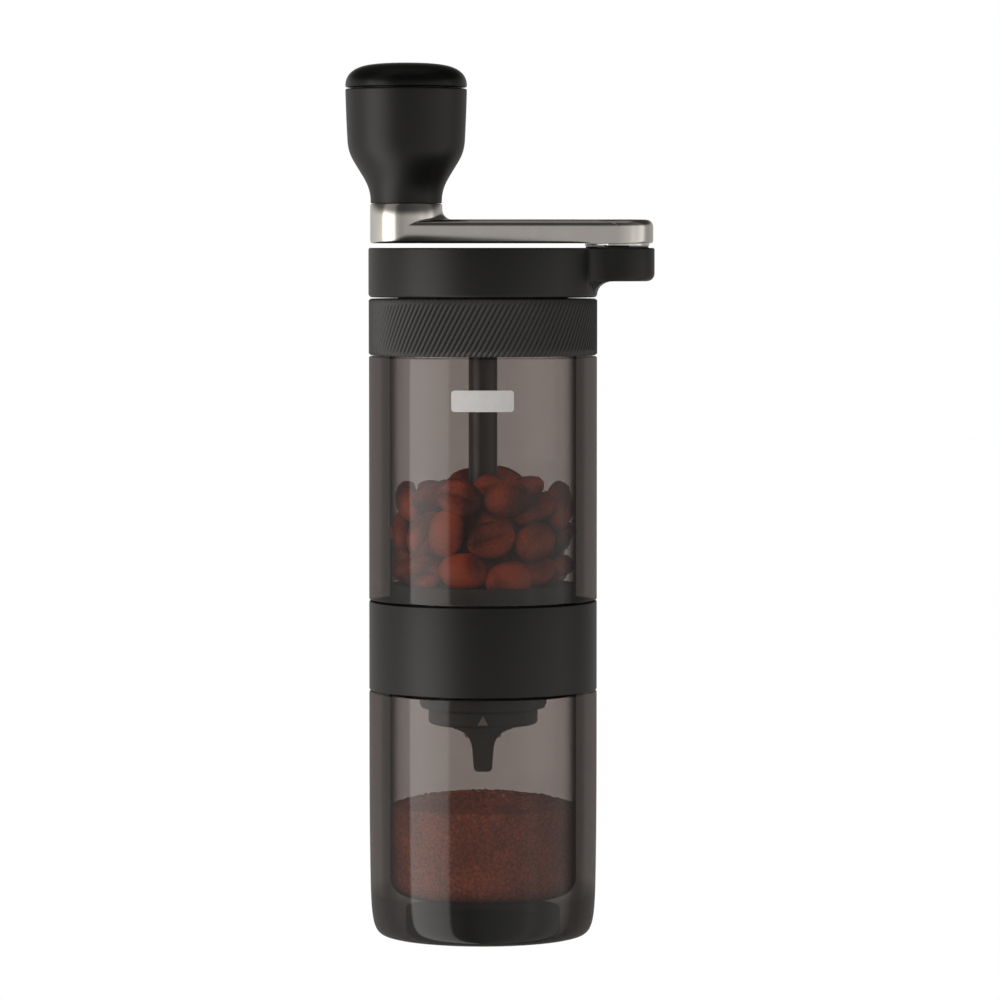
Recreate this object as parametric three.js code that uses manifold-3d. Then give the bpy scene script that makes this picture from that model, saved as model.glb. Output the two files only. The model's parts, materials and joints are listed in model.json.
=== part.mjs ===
// Hand crank coffee grinder with a folding crank, a see-through hopper and a see-through grounds cup.
// Millimetres, +Z up. The origin is on the main axis, on the surface that the foot stands on.
// At rest the crank arm is folded over the lid, with the knob above the left side of the body.
import * as THREE from "three";
import { mergeVertices } from "three/addons/utils/BufferGeometryUtils.js";
import Module from "manifold-3d";

const wasm = await Module();
wasm.setup();

// Driving dimensions
const gap = 0.3; // between pieces that touch
const slip = 0.05; // between flat faces that bear on each other

const body = {
  radius: 25,
  wallRadius: 20.5, // inside of the hopper and of the cup
  spigotRadius: 22.6, // reduced ends of the hopper and of the cup
  socketRadius: 23, // inside of the collar and of the ring, around those ends
  cupTop: 54.4,
  collarTop: 74.2,
  ringBottom: 127.8,
  ringTop: 140.3,
  lidTop: 151.4,
};

const crank = {
  pivotX: 29.4,
  armLength: 46.2, // from pivot to knob axis
  armBottom: 152.4,
  armHeight: 5.2,
  halfWidth: 7.9,
  bossHeight: 8.65, // top of the knob's seat above the arm's underside
};

const knob = { radius: 13.3, neckRadius: 7.8, seam: 25.1, height: 30.75 };

const shaft = { radius: 3.15, top: 146.4, bottom: 44.6, threadRadius: 2.4, hexAcross: 6 };

const bearing = { bore: 3.3, innerLand: 4.3, outerLand: 5.9, outside: 6.75, width: 4, ballRadius: 0.72 };

const burr = { bottom: 57, top: 70.4, ringOutside: 18, teeth: 24 };

const detent = { at: 8.6, radius: 0.9, low: 47.4 }; // ball and spring in a hole in the dial

const screwCircle = { spider: 18.5, liner: 14, start: 30 }; // radii, and the first screw's angle

const facets = { shell: 32, middle: 20, small: 12, tiny: 8 };

// Looks of the pieces
const finish = {
  blackPlastic: new THREE.MeshStandardMaterial({ color: 0x2b2b29, roughness: 0.55 }),
  smokedPlastic: new THREE.MeshStandardMaterial({
    color: 0x5a504c,
    roughness: 0.05,
    transparent: true,
    opacity: 0.45,
  }),
  steel: new THREE.MeshStandardMaterial({ color: 0xb9b5ae, roughness: 0.25, metalness: 1 }),
  castSteel: new THREE.MeshStandardMaterial({ color: 0xa8a29b, roughness: 0.32, metalness: 1 }),
  brass: new THREE.MeshStandardMaterial({ color: 0xb08d4f, roughness: 0.35, metalness: 1 }),
  nylon: new THREE.MeshStandardMaterial({ color: 0xd8d4c8, roughness: 0.6 }),
  silicone: new THREE.MeshStandardMaterial({ color: 0x1c1c1c, roughness: 0.8 }),
};

// Geometry to solid and back, for joining and cutting
function solidOf(geometry) {
  const loose = geometry.index ? geometry.toNonIndexed() : geometry;
  const bare = new THREE.BufferGeometry().setAttribute("position", loose.getAttribute("position"));
  const merged = mergeVertices(bare, 1e-4);
  return new wasm.Manifold(
    new wasm.Mesh({
      numProp: 3,
      vertProperties: merged.attributes.position.array,
      triVerts: new Uint32Array(merged.index.array),
    }),
  );
}

function geometryOf(solid) {
  const mesh = solid.getMesh();
  const geometry = new THREE.BufferGeometry();
  geometry.setAttribute("position", new THREE.BufferAttribute(new Float32Array(mesh.vertProperties), 3));
  geometry.setIndex(new THREE.BufferAttribute(new Uint32Array(mesh.triVerts), 1));
  geometry.computeVertexNormals();
  return geometry;
}

function piece(name, solid, material, parent) {
  const mesh = new THREE.Mesh(geometryOf(solid), material);
  mesh.name = name;
  parent.add(mesh);
  return mesh;
}

// An outline of [radius, height] points turned about Z
function turned(outline, steps = facets.shell) {
  const points = outline.map((p) => (p.isVector2 ? p.clone() : new THREE.Vector2(...p)));
  if (THREE.ShapeUtils.area(points) < 0) points.reverse();
  const next = (i) => points[(i + 1) % points.length];
  const axisEdge = points.findIndex((p, i) => p.x < 1e-6 && next(i).x < 1e-6);
  const ordered = [...points.slice(axisEdge + 1), ...points.slice(0, axisEdge + 1)];
  if (axisEdge < 0) ordered.push(ordered[0].clone());
  return solidOf(new THREE.LatheGeometry(ordered, steps).rotateX(Math.PI / 2));
}

const rod = (radius, low, high, steps = facets.small) =>
  turned([[0, low], [radius, low], [radius, high], [0, high]], steps);

const ring = (inside, outside, low, high, steps = facets.shell) =>
  turned([[inside, low], [outside, low], [outside, high], [inside, high]], steps);

function extruded(shape, low, high, bevel = 0, curveSegments = 8) {
  const geometry = new THREE.ExtrudeGeometry(shape, {
    depth: high - low - 2 * bevel,
    bevelEnabled: bevel > 0,
    bevelThickness: bevel,
    bevelSize: bevel,
    bevelOffset: -bevel,
    bevelSegments: 1,
    curveSegments,
  });
  return solidOf(geometry.translate(0, 0, low + bevel));
}

function polygonShape(radius, sides) {
  const shape = new THREE.Shape();
  for (let i = 0; i < sides; i++) {
    const angle = ((i + 0.5) * 2 * Math.PI) / sides;
    const point = [radius * Math.cos(angle), radius * Math.sin(angle)];
    if (i === 0) shape.moveTo(...point);
    else shape.lineTo(...point);
  }
  return shape.closePath();
}

const hexRod = (across, low, high) =>
  extruded(polygonShape(across / Math.sqrt(3), 6), low, high);

const bar = (lengthX, lengthY, low, high) =>
  solidOf(new THREE.BoxGeometry(lengthX, lengthY, high - low).translate(0, 0, (low + high) / 2));

// Places around the axis, at the angle of each of three spider arms or screws
const threeAround = (radius, startDegrees) =>
  [0, 1, 2].map((i) => {
    const angle = THREE.MathUtils.degToRad(startDegrees + 120 * i);
    return { x: radius * Math.cos(angle), y: radius * Math.sin(angle), angle };
  });

// Cup: stands on its foot and pushes up into the collar

function groundsCup() {
  const outline = new THREE.Path();
  const floor = 9;
  const corner = 4;
  const shoulder = body.cupTop - gap / 2;
  outline.moveTo(0, 6.3).lineTo(17, 6.3).lineTo(17, 0.4).lineTo(20.8, 0.4);
  outline.bezierCurveTo(24.5, 0.4, 24.85, 4, 24.9, 12);
  outline.lineTo(body.radius, 30).lineTo(body.radius, shoulder - 0.3).lineTo(body.radius - 0.3, shoulder);
  outline.lineTo(22.4, shoulder);
  const groove = { low: 57.6, high: 59.2, radius: 21.7 };
  outline.lineTo(22.4, groove.low).lineTo(groove.radius, groove.low);
  outline.lineTo(groove.radius, groove.high).lineTo(22.4, groove.high);
  outline.lineTo(22.4, 61.3).lineTo(body.wallRadius, 61.3).lineTo(body.wallRadius, floor + corner);
  outline.absarc(body.wallRadius - corner, floor + corner, corner, 0, -Math.PI / 2, true);
  outline.lineTo(0, floor);
  return turned(outline.getPoints(3));
}

function cupSeal() {
  return turned([[21.85, 57.8], [22.5, 57.8], [22.85, 58.4], [22.5, 59], [21.85, 59]]);
}

function baseFoot() {
  return turned([[0, 0], [16, 0], [16.7, 0.7], [16.7, 6], [0, 6]]);
}

// Housing: collar, hopper, knurled ring, bearing spiders and outer burr

function middleCollar() {
  const low = body.cupTop + gap / 2;
  const high = body.collarTop - gap / 2;
  const shelf = { low: 61.7, high: 63.7, radius: 20.7 };
  const chamfer = 0.35;
  return turned([
    [body.radius - chamfer, low], [body.radius, low + chamfer],
    [body.radius, high - chamfer], [body.radius - chamfer, high],
    [body.socketRadius, high], [body.socketRadius, shelf.high],
    [shelf.radius, shelf.high], [shelf.radius, shelf.low],
    [body.socketRadius, shelf.low], [body.socketRadius, low],
  ]);
}

function hopperTube() {
  const low = body.collarTop + 0.1;
  const high = body.ringBottom - 0.1;
  const spigotBottom = 66.9;
  const spigotTop = 136;
  const chamfer = 0.3;
  return turned([
    [body.wallRadius, spigotBottom], [body.spigotRadius, spigotBottom], [body.spigotRadius, low],
    [body.radius - chamfer, low], [body.radius, low + chamfer],
    [body.radius, high - chamfer], [body.radius - chamfer, high],
    [body.spigotRadius, high], [body.spigotRadius, spigotTop], [body.wallRadius, spigotTop],
  ]);
}

function hopperGasket() {
  return ring(body.wallRadius + 0.2, body.spigotRadius, 66.45, 66.8);
}

function knurledRing() {
  const low = body.ringBottom + gap / 2;
  const lip = { radius: 19, low: 137.9 };
  const chamfer = 0.4;
  return turned([
    [body.radius - chamfer, low], [body.radius, low + chamfer],
    [body.radius, body.ringTop - chamfer], [body.radius - chamfer, body.ringTop],
    [lip.radius, body.ringTop], [lip.radius, lip.low],
    [body.socketRadius, lip.low], [body.socketRadius, low],
  ]);
}

// A bearing seat on three arms inside a rim, with the gaps between the arms open
function spider(rim, hub, arms, seatLow, seatHigh, rimInside) {
  const armWidth = 3;
  let made = rim;
  for (const { x, y, angle } of threeAround((hub.radius + rimInside) / 2, 90)) {
    const length = rimInside - hub.radius + 2;
    const arm = bar(length, armWidth, arms.low, arms.high);
    made = made.add(arm.rotate([0, 0, THREE.MathUtils.radToDeg(angle)]).translate([x, y, 0]));
  }
  made = made.add(rod(hub.radius, hub.low, hub.high, facets.middle));
  made = made.subtract(rod(bearing.outside + 0.15, seatLow, seatHigh, facets.middle));
  return made.subtract(rod(bearing.outerLand + 0.1, hub.low - 1, hub.high + 1, facets.middle));
}

const upperBearingLow = 132.2;
const lowerBearingLow = 72.7;

function upperSpider() {
  const rim = turned([
    [18.7, 131], [20.2, 131], [20.2, 136.2], [body.spigotRadius, 136.2],
    [body.spigotRadius, 137.7], [18.7, 137.7],
  ]);
  const hub = { radius: 8.2, low: 131, high: 137.2 };
  return spider(rim, hub, { low: 131, high: 136.6 }, upperBearingLow - slip, 140, 18.9);
}

function lowerSpider() {
  const rim = turned([
    [16.6, 73.1], [20.2, 73.1], [20.2, 77.8], [19.9, 77.8], [19.6, 76.4], [17.2, 76.4], [16.6, 75.8],
  ]);
  const hub = { radius: 8.2, low: 71.4, high: 77.2 };
  const arms = { low: 73.3, high: 76.2 };
  let made = spider(rim, hub, arms, 60, lowerBearingLow + bearing.width + slip, 17);
  for (const { x, y } of threeAround(screwCircle.spider, screwCircle.start)) {
    made = made.subtract(rod(1, 70, 80, facets.tiny).translate([x, y, 0]));
  }
  return made;
}

function spiderScrew() {
  // Countersunk screw with its head down in the rim, in its own frame: the head's top is at 0
  return turned([[0, -4.9], [0.75, -4.9], [0.75, -1.2], [0.9, 0], [0, 0]], facets.tiny);
}

function burrHousing() {
  const seat = burr.ringOutside + 0.2;
  const outside = 20.2;
  let made = turned([
    [seat, 53.4], [outside, 53.4], [outside, 64], [body.spigotRadius, 64],
    [body.spigotRadius, 66.3], [outside, 66.3], [outside, 72.8],
    [16.4, 72.8], [15.7, 70.8], [seat, 70.8],
  ]);
  for (const { x, y } of threeAround(screwCircle.spider, screwCircle.start)) {
    made = made.subtract(rod(1, 71.25, 74, facets.tiny).translate([x, y, 0]));
  }
  return made;
}

function burrRetainer() {
  const slots = threeAround(18, 90);
  let made = ring(15.6, burr.ringOutside, 54.4, 56.8);
  for (const { x, y, angle } of slots) {
    const slot = bar(2.4, 3, 54, 55.2).rotate([0, 0, THREE.MathUtils.radToDeg(angle)]);
    made = made.subtract(slot.translate([x, y, 0]));
  }
  return made;
}

// A closed skin through rows of points, each row one turn around the axis from low to high
function lofted(rows) {
  const count = rows[0].length;
  const points = rows.flat();
  const low = points.length;
  const high = low + 1;
  points.push([0, 0, rows[0][0][2]], [0, 0, rows[rows.length - 1][0][2]]);
  const faces = [];
  for (let r = 0; r + 1 < rows.length; r++) {
    for (let i = 0; i < count; i++) {
      const a = r * count + i;
      const b = r * count + ((i + 1) % count);
      faces.push(a, b, b + count, a, b + count, a + count);
    }
  }
  const last = (rows.length - 1) * count;
  for (let i = 0; i < count; i++) {
    const next = (i + 1) % count;
    faces.push(low, next, i, high, last + i, last + next);
  }
  const geometry = new THREE.BufferGeometry();
  geometry.setAttribute("position", new THREE.Float32BufferAttribute(points.flat(), 3));
  geometry.setIndex(faces);
  return solidOf(geometry);
}

// One turn of saw teeth: root and tip radius at each tooth, turned on by the helix at that height
function toothRow(count, root, tip, height, twist) {
  const row = [];
  for (let i = 0; i < count; i++) {
    for (const [share, radius] of [[0, root], [0.75, tip]]) {
      const angle = ((i + share) * 2 * Math.PI) / count + twist;
      row.push([radius * Math.cos(angle), radius * Math.sin(angle), height]);
    }
  }
  return row;
}

function ringBurr() {
  // The bore narrows down to the grinding land, then follows the cone outwards
  const stations = [
    { z: burr.bottom - 1, tip: 15.7, depth: 0.5 },
    { z: burr.bottom, tip: 15.35, depth: 0.5 },
    { z: 61, tip: 13.75, depth: 0.9 },
    { z: burr.top, tip: 14.7, depth: 1.6 },
    { z: burr.top + 1, tip: 14.8, depth: 1.6 },
  ];
  const rows = stations.map(({ z, tip, depth }) =>
    toothRow(burr.teeth, tip + depth, tip, z, (burr.bottom - z) * 0.025));
  return rod(burr.ringOutside, burr.bottom, burr.top, facets.shell).subtract(lofted(rows));
}

// Shaft: turned by the lid's socket, carries the inner burr

function driveShaft() {
  const clipGroove = { low: 136.5, high: 137.2, radius: 2.6 };
  let made = turned([
    [0, shaft.bottom], [shaft.threadRadius - 0.4, shaft.bottom], [shaft.threadRadius, shaft.bottom + 0.4],
    [shaft.threadRadius, 55.2], [shaft.radius, 56], [shaft.radius, clipGroove.low],
    [clipGroove.radius, clipGroove.low], [clipGroove.radius, clipGroove.high],
    [shaft.radius - 0.2, clipGroove.high], [shaft.radius - 0.2, 138.2], [0, 138.2],
  ], facets.middle);
  made = made.add(hexRod(shaft.hexAcross, 138, shaft.top));
  const flat = 1;
  for (const side of [-1, 1]) {
    made = made.subtract(bar(10, flat, 54, 67.8).translate([0, side * (shaft.radius - 0.55 + flat / 2), 0]));
  }
  return made;
}

function shaftClip() {
  // Snap ring, open at one side
  return ring(2.75, 4.4, 136.55, 137.1, facets.small).subtract(bar(3, 1.2, 136, 138).translate([3.6, 0, 0]));
}

const innerRace = () => ring(bearing.bore, bearing.innerLand, 0, bearing.width, facets.middle);
const outerRace = () => ring(bearing.outerLand, bearing.outside, 0, bearing.width, facets.middle);

function ballCage() {
  const balls = 6;
  const pitch = (bearing.innerLand + bearing.outerLand) / 2;
  let made = ring(pitch - 0.3, pitch + 0.3, 1.65, 2.35, 12);
  for (let i = 0; i < balls; i++) {
    const angle = (i * 2 * Math.PI) / balls;
    const ball = solidOf(new THREE.OctahedronGeometry(bearing.ballRadius, 1));
    made = made.add(ball.translate([pitch * Math.cos(angle), pitch * Math.sin(angle), 2]));
  }
  return made;
}

function coilSpring(coilRadius, wireRadius, low, high, turns, stepsPerTurn) {
  const points = [];
  const steps = Math.round(turns * stepsPerTurn);
  for (let i = 0; i <= steps; i++) {
    const angle = (i / stepsPerTurn) * 2 * Math.PI;
    const height = low + wireRadius + ((high - low - 2 * wireRadius) * i) / steps;
    points.push(new THREE.Vector3(coilRadius * Math.cos(angle), coilRadius * Math.sin(angle), height));
  }
  const geometry = new THREE.ExtrudeGeometry(polygonShape(wireRadius, 6), {
    extrudePath: new THREE.CatmullRomCurve3(points),
    steps: steps,
  });
  return solidOf(geometry);
}

// Inner burr and its index ring, which slide on the shaft's flats

function coneBurr() {
  const stations = [
    { z: burr.bottom, tip: 14.95, depth: 0.45 },
    { z: 61, tip: 13.3, depth: 0.9 },
    { z: 66, tip: 10.4, depth: 2 },
    { z: burr.top, tip: 8.3, depth: 1.7 },
  ];
  const rows = stations.map(({ z, tip, depth }) =>
    toothRow(burr.teeth, tip - depth, tip, z, (z - burr.bottom) * 0.04));
  let made = lofted(rows);
  made = made.subtract(rod(5.1, 66.2, 72, facets.small));
  return made.subtract(flattedBore(56, 67));
}

// Bore with two flats that turns with the shaft and slides along it
function flattedBore(low, high) {
  const radius = shaft.radius + 0.25;
  const acrossFlats = 2 * (shaft.radius - 0.55) + 0.5;
  return rod(radius, low, high, facets.small).intersect(bar(3 * radius, acrossFlats, low, high));
}

function indexRing() {
  const made = turned([
    [0, 50.45], [13.3, 50.45], [14, 51.1], [14, 53.2], [9, 53.8], [9, 56.7], [0, 56.7],
  ]);
  return made.subtract(flattedBore(54.9, 58)).subtract(rod(shaft.threadRadius + 0.6, 49, 56, facets.small));
}

// Dial: threaded on the end of the shaft below the index ring

function adjustDial() {
  const rimLow = 46.9;
  const rimHigh = 50.1;
  const finEnd = 37.1;
  let made = turned([
    [0, rimLow - 0.5], [6, rimLow - 0.5], [11.3, rimLow], [12, rimLow + 0.5], [12, rimHigh], [0, rimHigh],
  ]);
  // The grip's section across its width: flared into the rim, with a rounded lower edge
  const grip = new THREE.Shape();
  grip.moveTo(-6.2, rimLow + 0.2).lineTo(-6.2, rimLow - 0.4);
  grip.bezierCurveTo(-3.4, rimLow - 0.8, -2.4, rimLow - 3, -2.3, rimLow - 5);
  grip.lineTo(-2, finEnd + 1).quadraticCurveTo(-1.9, finEnd, -1, finEnd);
  grip.lineTo(1, finEnd).quadraticCurveTo(1.9, finEnd, 2, finEnd + 1);
  grip.lineTo(2.3, rimLow - 5).bezierCurveTo(2.4, rimLow - 3, 3.4, rimLow - 0.8, 6.2, rimLow - 0.4);
  grip.lineTo(6.2, rimLow + 0.2).closePath();
  const gripLength = 21;
  const long = new THREE.ExtrudeGeometry(grip, { depth: gripLength, bevelEnabled: false, curveSegments: 5 });
  const fin = solidOf(long.rotateX(Math.PI / 2).translate(0, gripLength / 2, 0));
  made = made.add(fin.intersect(turned([[0, 30], [8.8, 30], [9.2, 38], [11.2, rimLow + 1], [0, rimLow + 1]])));
  made = made.subtract(rod(4.2, 43.8, 52, facets.small));
  return made.subtract(rod(detent.radius + 0.15, detent.low - slip, 52, facets.tiny).translate([detent.at, 0, 0]));
}

function dialNut() {
  return ring(shaft.threadRadius + 0.15, 4, 43.9, 50, facets.small);
}

function detentBall() {
  return solidOf(new THREE.IcosahedronGeometry(detent.radius, 1)).translate([detent.at, 0, 49.45]);
}

const detentSpring = () => coilSpring(0.6, 0.16, detent.low, 48.5, 2.5, 8);

// Lid: turns the shaft and carries the arm's pivot on its side tab

function lidOutline(offset = 0) {
  // Round lid with a tab to the right, blended by arcs that are tangent to both
  const tabRadius = 8.2 - offset;
  const lidRadius = 25.1 - offset;
  const blend = 5 + offset;
  const reach = crank.pivotX;
  // Centre of the blend arc: blend away from both circles
  const a = lidRadius + blend;
  const b = tabRadius + blend;
  const x = (a * a - b * b + reach * reach) / (2 * reach);
  const y = Math.sqrt(a * a - x * x);
  const lidAngle = Math.atan2(y, x);
  const tabAngle = Math.atan2(y, x - reach);
  const shape = new THREE.Shape();
  shape.absarc(0, 0, lidRadius, lidAngle, 2 * Math.PI - lidAngle, false);
  shape.absarc(x, -y, blend, Math.PI - lidAngle, Math.PI - tabAngle, true);
  shape.absarc(reach, 0, tabRadius, -tabAngle, tabAngle, false);
  shape.absarc(x, y, blend, tabAngle - Math.PI, lidAngle - Math.PI, true);
  return shape;
}

const lid = { low: 0, high: body.lidTop - body.ringTop - gap, tabLow: 3.5, wall: 2.4, roof: 2.4, skirt: -2.6 };

function lidShell() {
  const outer = turned([
    [0, lid.low], [24.4, lid.low], [25.1, lid.low + 0.7], [25.1, lid.high - 0.3],
    [24.8, lid.high], [0, lid.high],
  ]);
  const tab = extruded(lidOutline(), lid.tabLow, lid.high, 0.3, 5);
  let made = outer.add(tab);
  made = made.add(rod(7, lid.high - 1, lid.high + 0.4, facets.middle).translate([crank.pivotX, 0, 0]));
  made = made.subtract(rod(25.1 - lid.wall, lid.low - 1, lid.high - lid.roof, facets.shell));
  made = made.add(rod(7.4, lid.low + 1.9, lid.high - lid.roof + 0.5, facets.middle));
  made = made.subtract(rod(5.3, lid.low, lid.high - lid.roof, facets.small));
  for (const { x, y } of threeAround(screwCircle.liner, screwCircle.start)) {
    made = made.add(rod(2.4, lid.low + 1.9, lid.high - lid.roof + 0.5, facets.tiny).translate([x, y, 0]));
    made = made.subtract(rod(1.2, lid.low, lid.high - lid.roof - 1, facets.tiny).translate([x, y, 0]));
  }
  const pivotBore = rod(3.6, lid.low, lid.high + 2, facets.small);
  const headSeat = rod(5, lid.low, lid.tabLow + 2.4, facets.small);
  return made.subtract(pivotBore.add(headSeat).translate([crank.pivotX, 0, 0]));
}

function lidLiner() {
  let made = turned([
    [7.8, lid.low + 0.2], [17.6, lid.low + 0.2], [17.6, lid.skirt], [18.6, lid.skirt],
    [18.6, lid.low + 0.2], [22.4, lid.low + 0.2], [22.4, lid.low + 1.6], [7.8, lid.low + 1.6],
  ]);
  for (const { x, y } of threeAround(screwCircle.liner, screwCircle.start)) {
    made = made.subtract(rod(1.3, lid.low - 1, lid.low + 3, facets.tiny).translate([x, y, 0]));
  }
  return made;
}

function linerScrew() {
  const head = turned([[0, -1], [1.6, -1], [2.1, -0.5], [2.1, 0.1], [0, 0.1]], facets.small);
  const cross = bar(2.2, 0.6, -1.5, -0.6).add(bar(0.6, 2.2, -1.5, -0.6));
  return head.add(rod(1, 0, 5.8, facets.tiny)).subtract(cross);
}

function driveSocket() {
  const made = turned([
    [0, lid.low + 0.4], [6.9, lid.low + 0.4], [6.9, lid.low + 1.6], [5, lid.low + 1.6],
    [5, lid.high - lid.roof - gap], [0, lid.high - lid.roof - gap],
  ], facets.middle);
  return made.subtract(hexRod(shaft.hexAcross + 0.6, lid.low - 1, shaft.top - body.ringTop - gap + 0.6));
}

// The rest of the pivot stands on the tab: heights are from the lid's underside
function pivotBush() {
  return ring(2.9, 3.45, lid.tabLow + 2.5, lid.high + 0.35, facets.small);
}

function pivotWasher() {
  return ring(2.9, 7.05, lid.high + 0.45, lid.high + 0.95, facets.middle);
}

function waveWasher() {
  return ring(3, 4.7, lid.tabLow + 1.9, lid.tabLow + 2.3, facets.small);
}

// Arm: folds over the lid about the pivot; its own frame is at the pivot, on its underside

function stadium(halfWidth) {
  const shape = new THREE.Shape();
  shape.absarc(0, 0, halfWidth, -Math.PI / 2, Math.PI / 2, false);
  shape.absarc(-crank.armLength, 0, halfWidth, Math.PI / 2, (3 * Math.PI) / 2, false);
  return shape;
}

function crankArm() {
  const top = crank.armHeight;
  const boss = new THREE.Path();
  const fillet = 2.2;
  boss.moveTo(0, 1).lineTo(crank.halfWidth + fillet, 1).lineTo(crank.halfWidth + fillet, top);
  boss.absarc(crank.halfWidth + fillet, top + fillet, fillet, -Math.PI / 2, -Math.PI, true);
  boss.lineTo(crank.halfWidth, crank.bossHeight).lineTo(0, crank.bossHeight);
  const seat = turned(boss.getPoints(3), facets.shell).translate([-crank.armLength, 0, 0]);
  const sides = extruded(stadium(crank.halfWidth), 0.5, 20);
  let made = extruded(stadium(crank.halfWidth), 0, top, 0.6).add(seat.intersect(sides));
  const axleBore = rod(2.8, -1, 12, facets.small).add(rod(4.9, -1, 2.1, facets.small));
  made = made.subtract(axleBore.translate([-crank.armLength, 0, 0]));
  return made.subtract(rod(2.3, -1, 3.7, facets.small));
}

function pivotScrew() {
  // Shoulder screw from below the tab, with a hexagon socket in its head
  const underside = body.ringTop + gap - crank.armBottom;
  const head = { low: underside + lid.tabLow + 0.2, high: underside + lid.tabLow + 1.7 };
  const made = turned([
    [0, head.low], [4.2, head.low], [4.6, head.low + 0.4], [4.6, head.high], [2.65, head.high],
    [2.65, -slip], [2.05, -slip], [2.05, 3.4], [0, 3.4],
  ], facets.middle);
  return made.subtract(hexRod(3, head.low - 1, head.low + 1));
}

function knobAxle() {
  const clip = { low: 25.2, high: 26 };
  const made = turned([
    [0, 0.3], [4.2, 0.3], [4.6, 0.7], [4.6, 1.9], [2.6, 1.9], [2.6, clip.low], [2, clip.low],
    [2, clip.high], [2.6, clip.high], [2.6, clip.high + 1], [0, clip.high + 1],
  ], facets.small);
  return made.subtract(bar(6, 0.9, 0, 1));
}

function knobClip() {
  return ring(2.2, 5, 25.3, 25.9, facets.small).subtract(bar(4, 2, 25, 26.5).translate([4.2, 0, 0]));
}

// Knob: spins on the axle; its own frame is on the arm's seat, on the axle

function knobShell() {
  const outline = new THREE.Path();
  const low = gap;
  const cavity = 14.7;
  outline.moveTo(5.3, low).lineTo(knob.neckRadius, low);
  outline.bezierCurveTo(7.9, 4, 8.7, 5.1, 10.3, 7.3);
  outline.bezierCurveTo(11.9, 9.4, 12.75, 10.9, 12.85, 13.9);
  outline.lineTo(knob.radius, knob.seam - 0.4).lineTo(knob.radius - 0.3, knob.seam);
  outline.lineTo(11.2, knob.seam).lineTo(11.2, cavity).lineTo(5.3, cavity);
  return turned(outline.getPoints(4), facets.middle);
}

function knobCap() {
  const outline = new THREE.Path();
  const low = knob.seam + gap;
  outline.moveTo(9.9, knob.seam - 2.5).lineTo(10.9, knob.seam - 2.5).lineTo(10.9, low);
  outline.lineTo(knob.radius - 0.3, low).lineTo(knob.radius, low + 0.3);
  outline.bezierCurveTo(13.35, 29, 10.5, knob.height, 0, knob.height);
  outline.lineTo(0, knob.height - 2).lineTo(9.9, knob.height - 3.4);
  return turned(outline.getPoints(4), facets.middle);
}

const knobBush = (low, high, flangeAt) => turned([
  [2.85, low], [5.15, low], [5.15, high], ...(flangeAt ? [[6.6, high], [6.6, high + 0.9]] : []),
  [2.85, flangeAt ? high + 0.9 : high],
], facets.middle);

// Assembly

const grinder = new THREE.Group();

function subAssembly(parent, x = 0, y = 0, z = 0) {
  const group = new THREE.Group();
  group.position.set(x, y, z);
  parent.add(group);
  return group;
}

const cup = subAssembly(grinder);
piece("grounds_cup", groundsCup(), finish.smokedPlastic, cup);
piece("cup_seal", cupSeal(), finish.silicone, cup);
piece("base_foot", baseFoot(), finish.silicone, cup);

const housing = subAssembly(grinder);
piece("middle_collar", middleCollar(), finish.blackPlastic, housing);
piece("hopper_tube", hopperTube(), finish.smokedPlastic, housing);
piece("hopper_gasket", hopperGasket(), finish.silicone, housing);
piece("knurled_ring", knurledRing(), finish.blackPlastic, housing);
piece("upper_spider", upperSpider(), finish.blackPlastic, housing);
piece("lower_spider", lowerSpider(), finish.blackPlastic, housing);
piece("burr_housing", burrHousing(), finish.blackPlastic, housing);
piece("burr_retainer", burrRetainer(), finish.blackPlastic, housing);
piece("ring_burr", ringBurr(), finish.steel, housing);
threeAround(screwCircle.spider, screwCircle.start).forEach(({ x, y }, i) => {
  piece(`spider_screw_${i + 1}`, spiderScrew(), finish.steel, housing).position.set(x, y, 76.3);
});

const shaftGroup = subAssembly(grinder);
piece("drive_shaft", driveShaft(), finish.steel, shaftGroup);
piece("shaft_clip", shaftClip(), finish.steel, shaftGroup);
piece("burr_spring", coilSpring(4.15, 0.4, 66.4, 72.5, 3, 10), finish.steel, shaftGroup);

for (const [place, low] of [["upper", upperBearingLow], ["lower", lowerBearingLow]]) {
  piece(`${place}_bearing_outer_race`, outerRace(), finish.steel, housing).position.z = low;
  piece(`${place}_bearing_inner_race`, innerRace(), finish.steel, shaftGroup).position.z = low;
  piece(`${place}_bearing_cage`, ballCage(), finish.steel, grinder).position.z = low;
}

const innerBurr = subAssembly(shaftGroup);
piece("cone_burr", coneBurr(), finish.steel, innerBurr);
piece("index_ring", indexRing(), finish.blackPlastic, innerBurr);

const dial = subAssembly(innerBurr);
piece("adjust_dial", adjustDial(), finish.blackPlastic, dial);
piece("dial_nut", dialNut(), finish.brass, dial);
piece("detent_ball", detentBall(), finish.steel, dial);
piece("detent_spring", detentSpring(), finish.steel, dial).position.x = detent.at;

const lidGroup = subAssembly(shaftGroup, 0, 0, body.ringTop + gap);
piece("lid_shell", lidShell(), finish.blackPlastic, lidGroup);
piece("lid_liner", lidLiner(), finish.blackPlastic, lidGroup);
piece("drive_socket", driveSocket(), finish.steel, lidGroup);
threeAround(screwCircle.liner, screwCircle.start).forEach(({ x, y }, i) => {
  piece(`liner_screw_${i + 1}`, linerScrew(), finish.steel, lidGroup).position.set(x, y, 0);
});
const pivotGroup = subAssembly(lidGroup, crank.pivotX);
piece("pivot_bush", pivotBush(), finish.nylon, pivotGroup);
piece("pivot_washer", pivotWasher(), finish.steel, pivotGroup);
piece("wave_washer", waveWasher(), finish.steel, pivotGroup);

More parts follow.
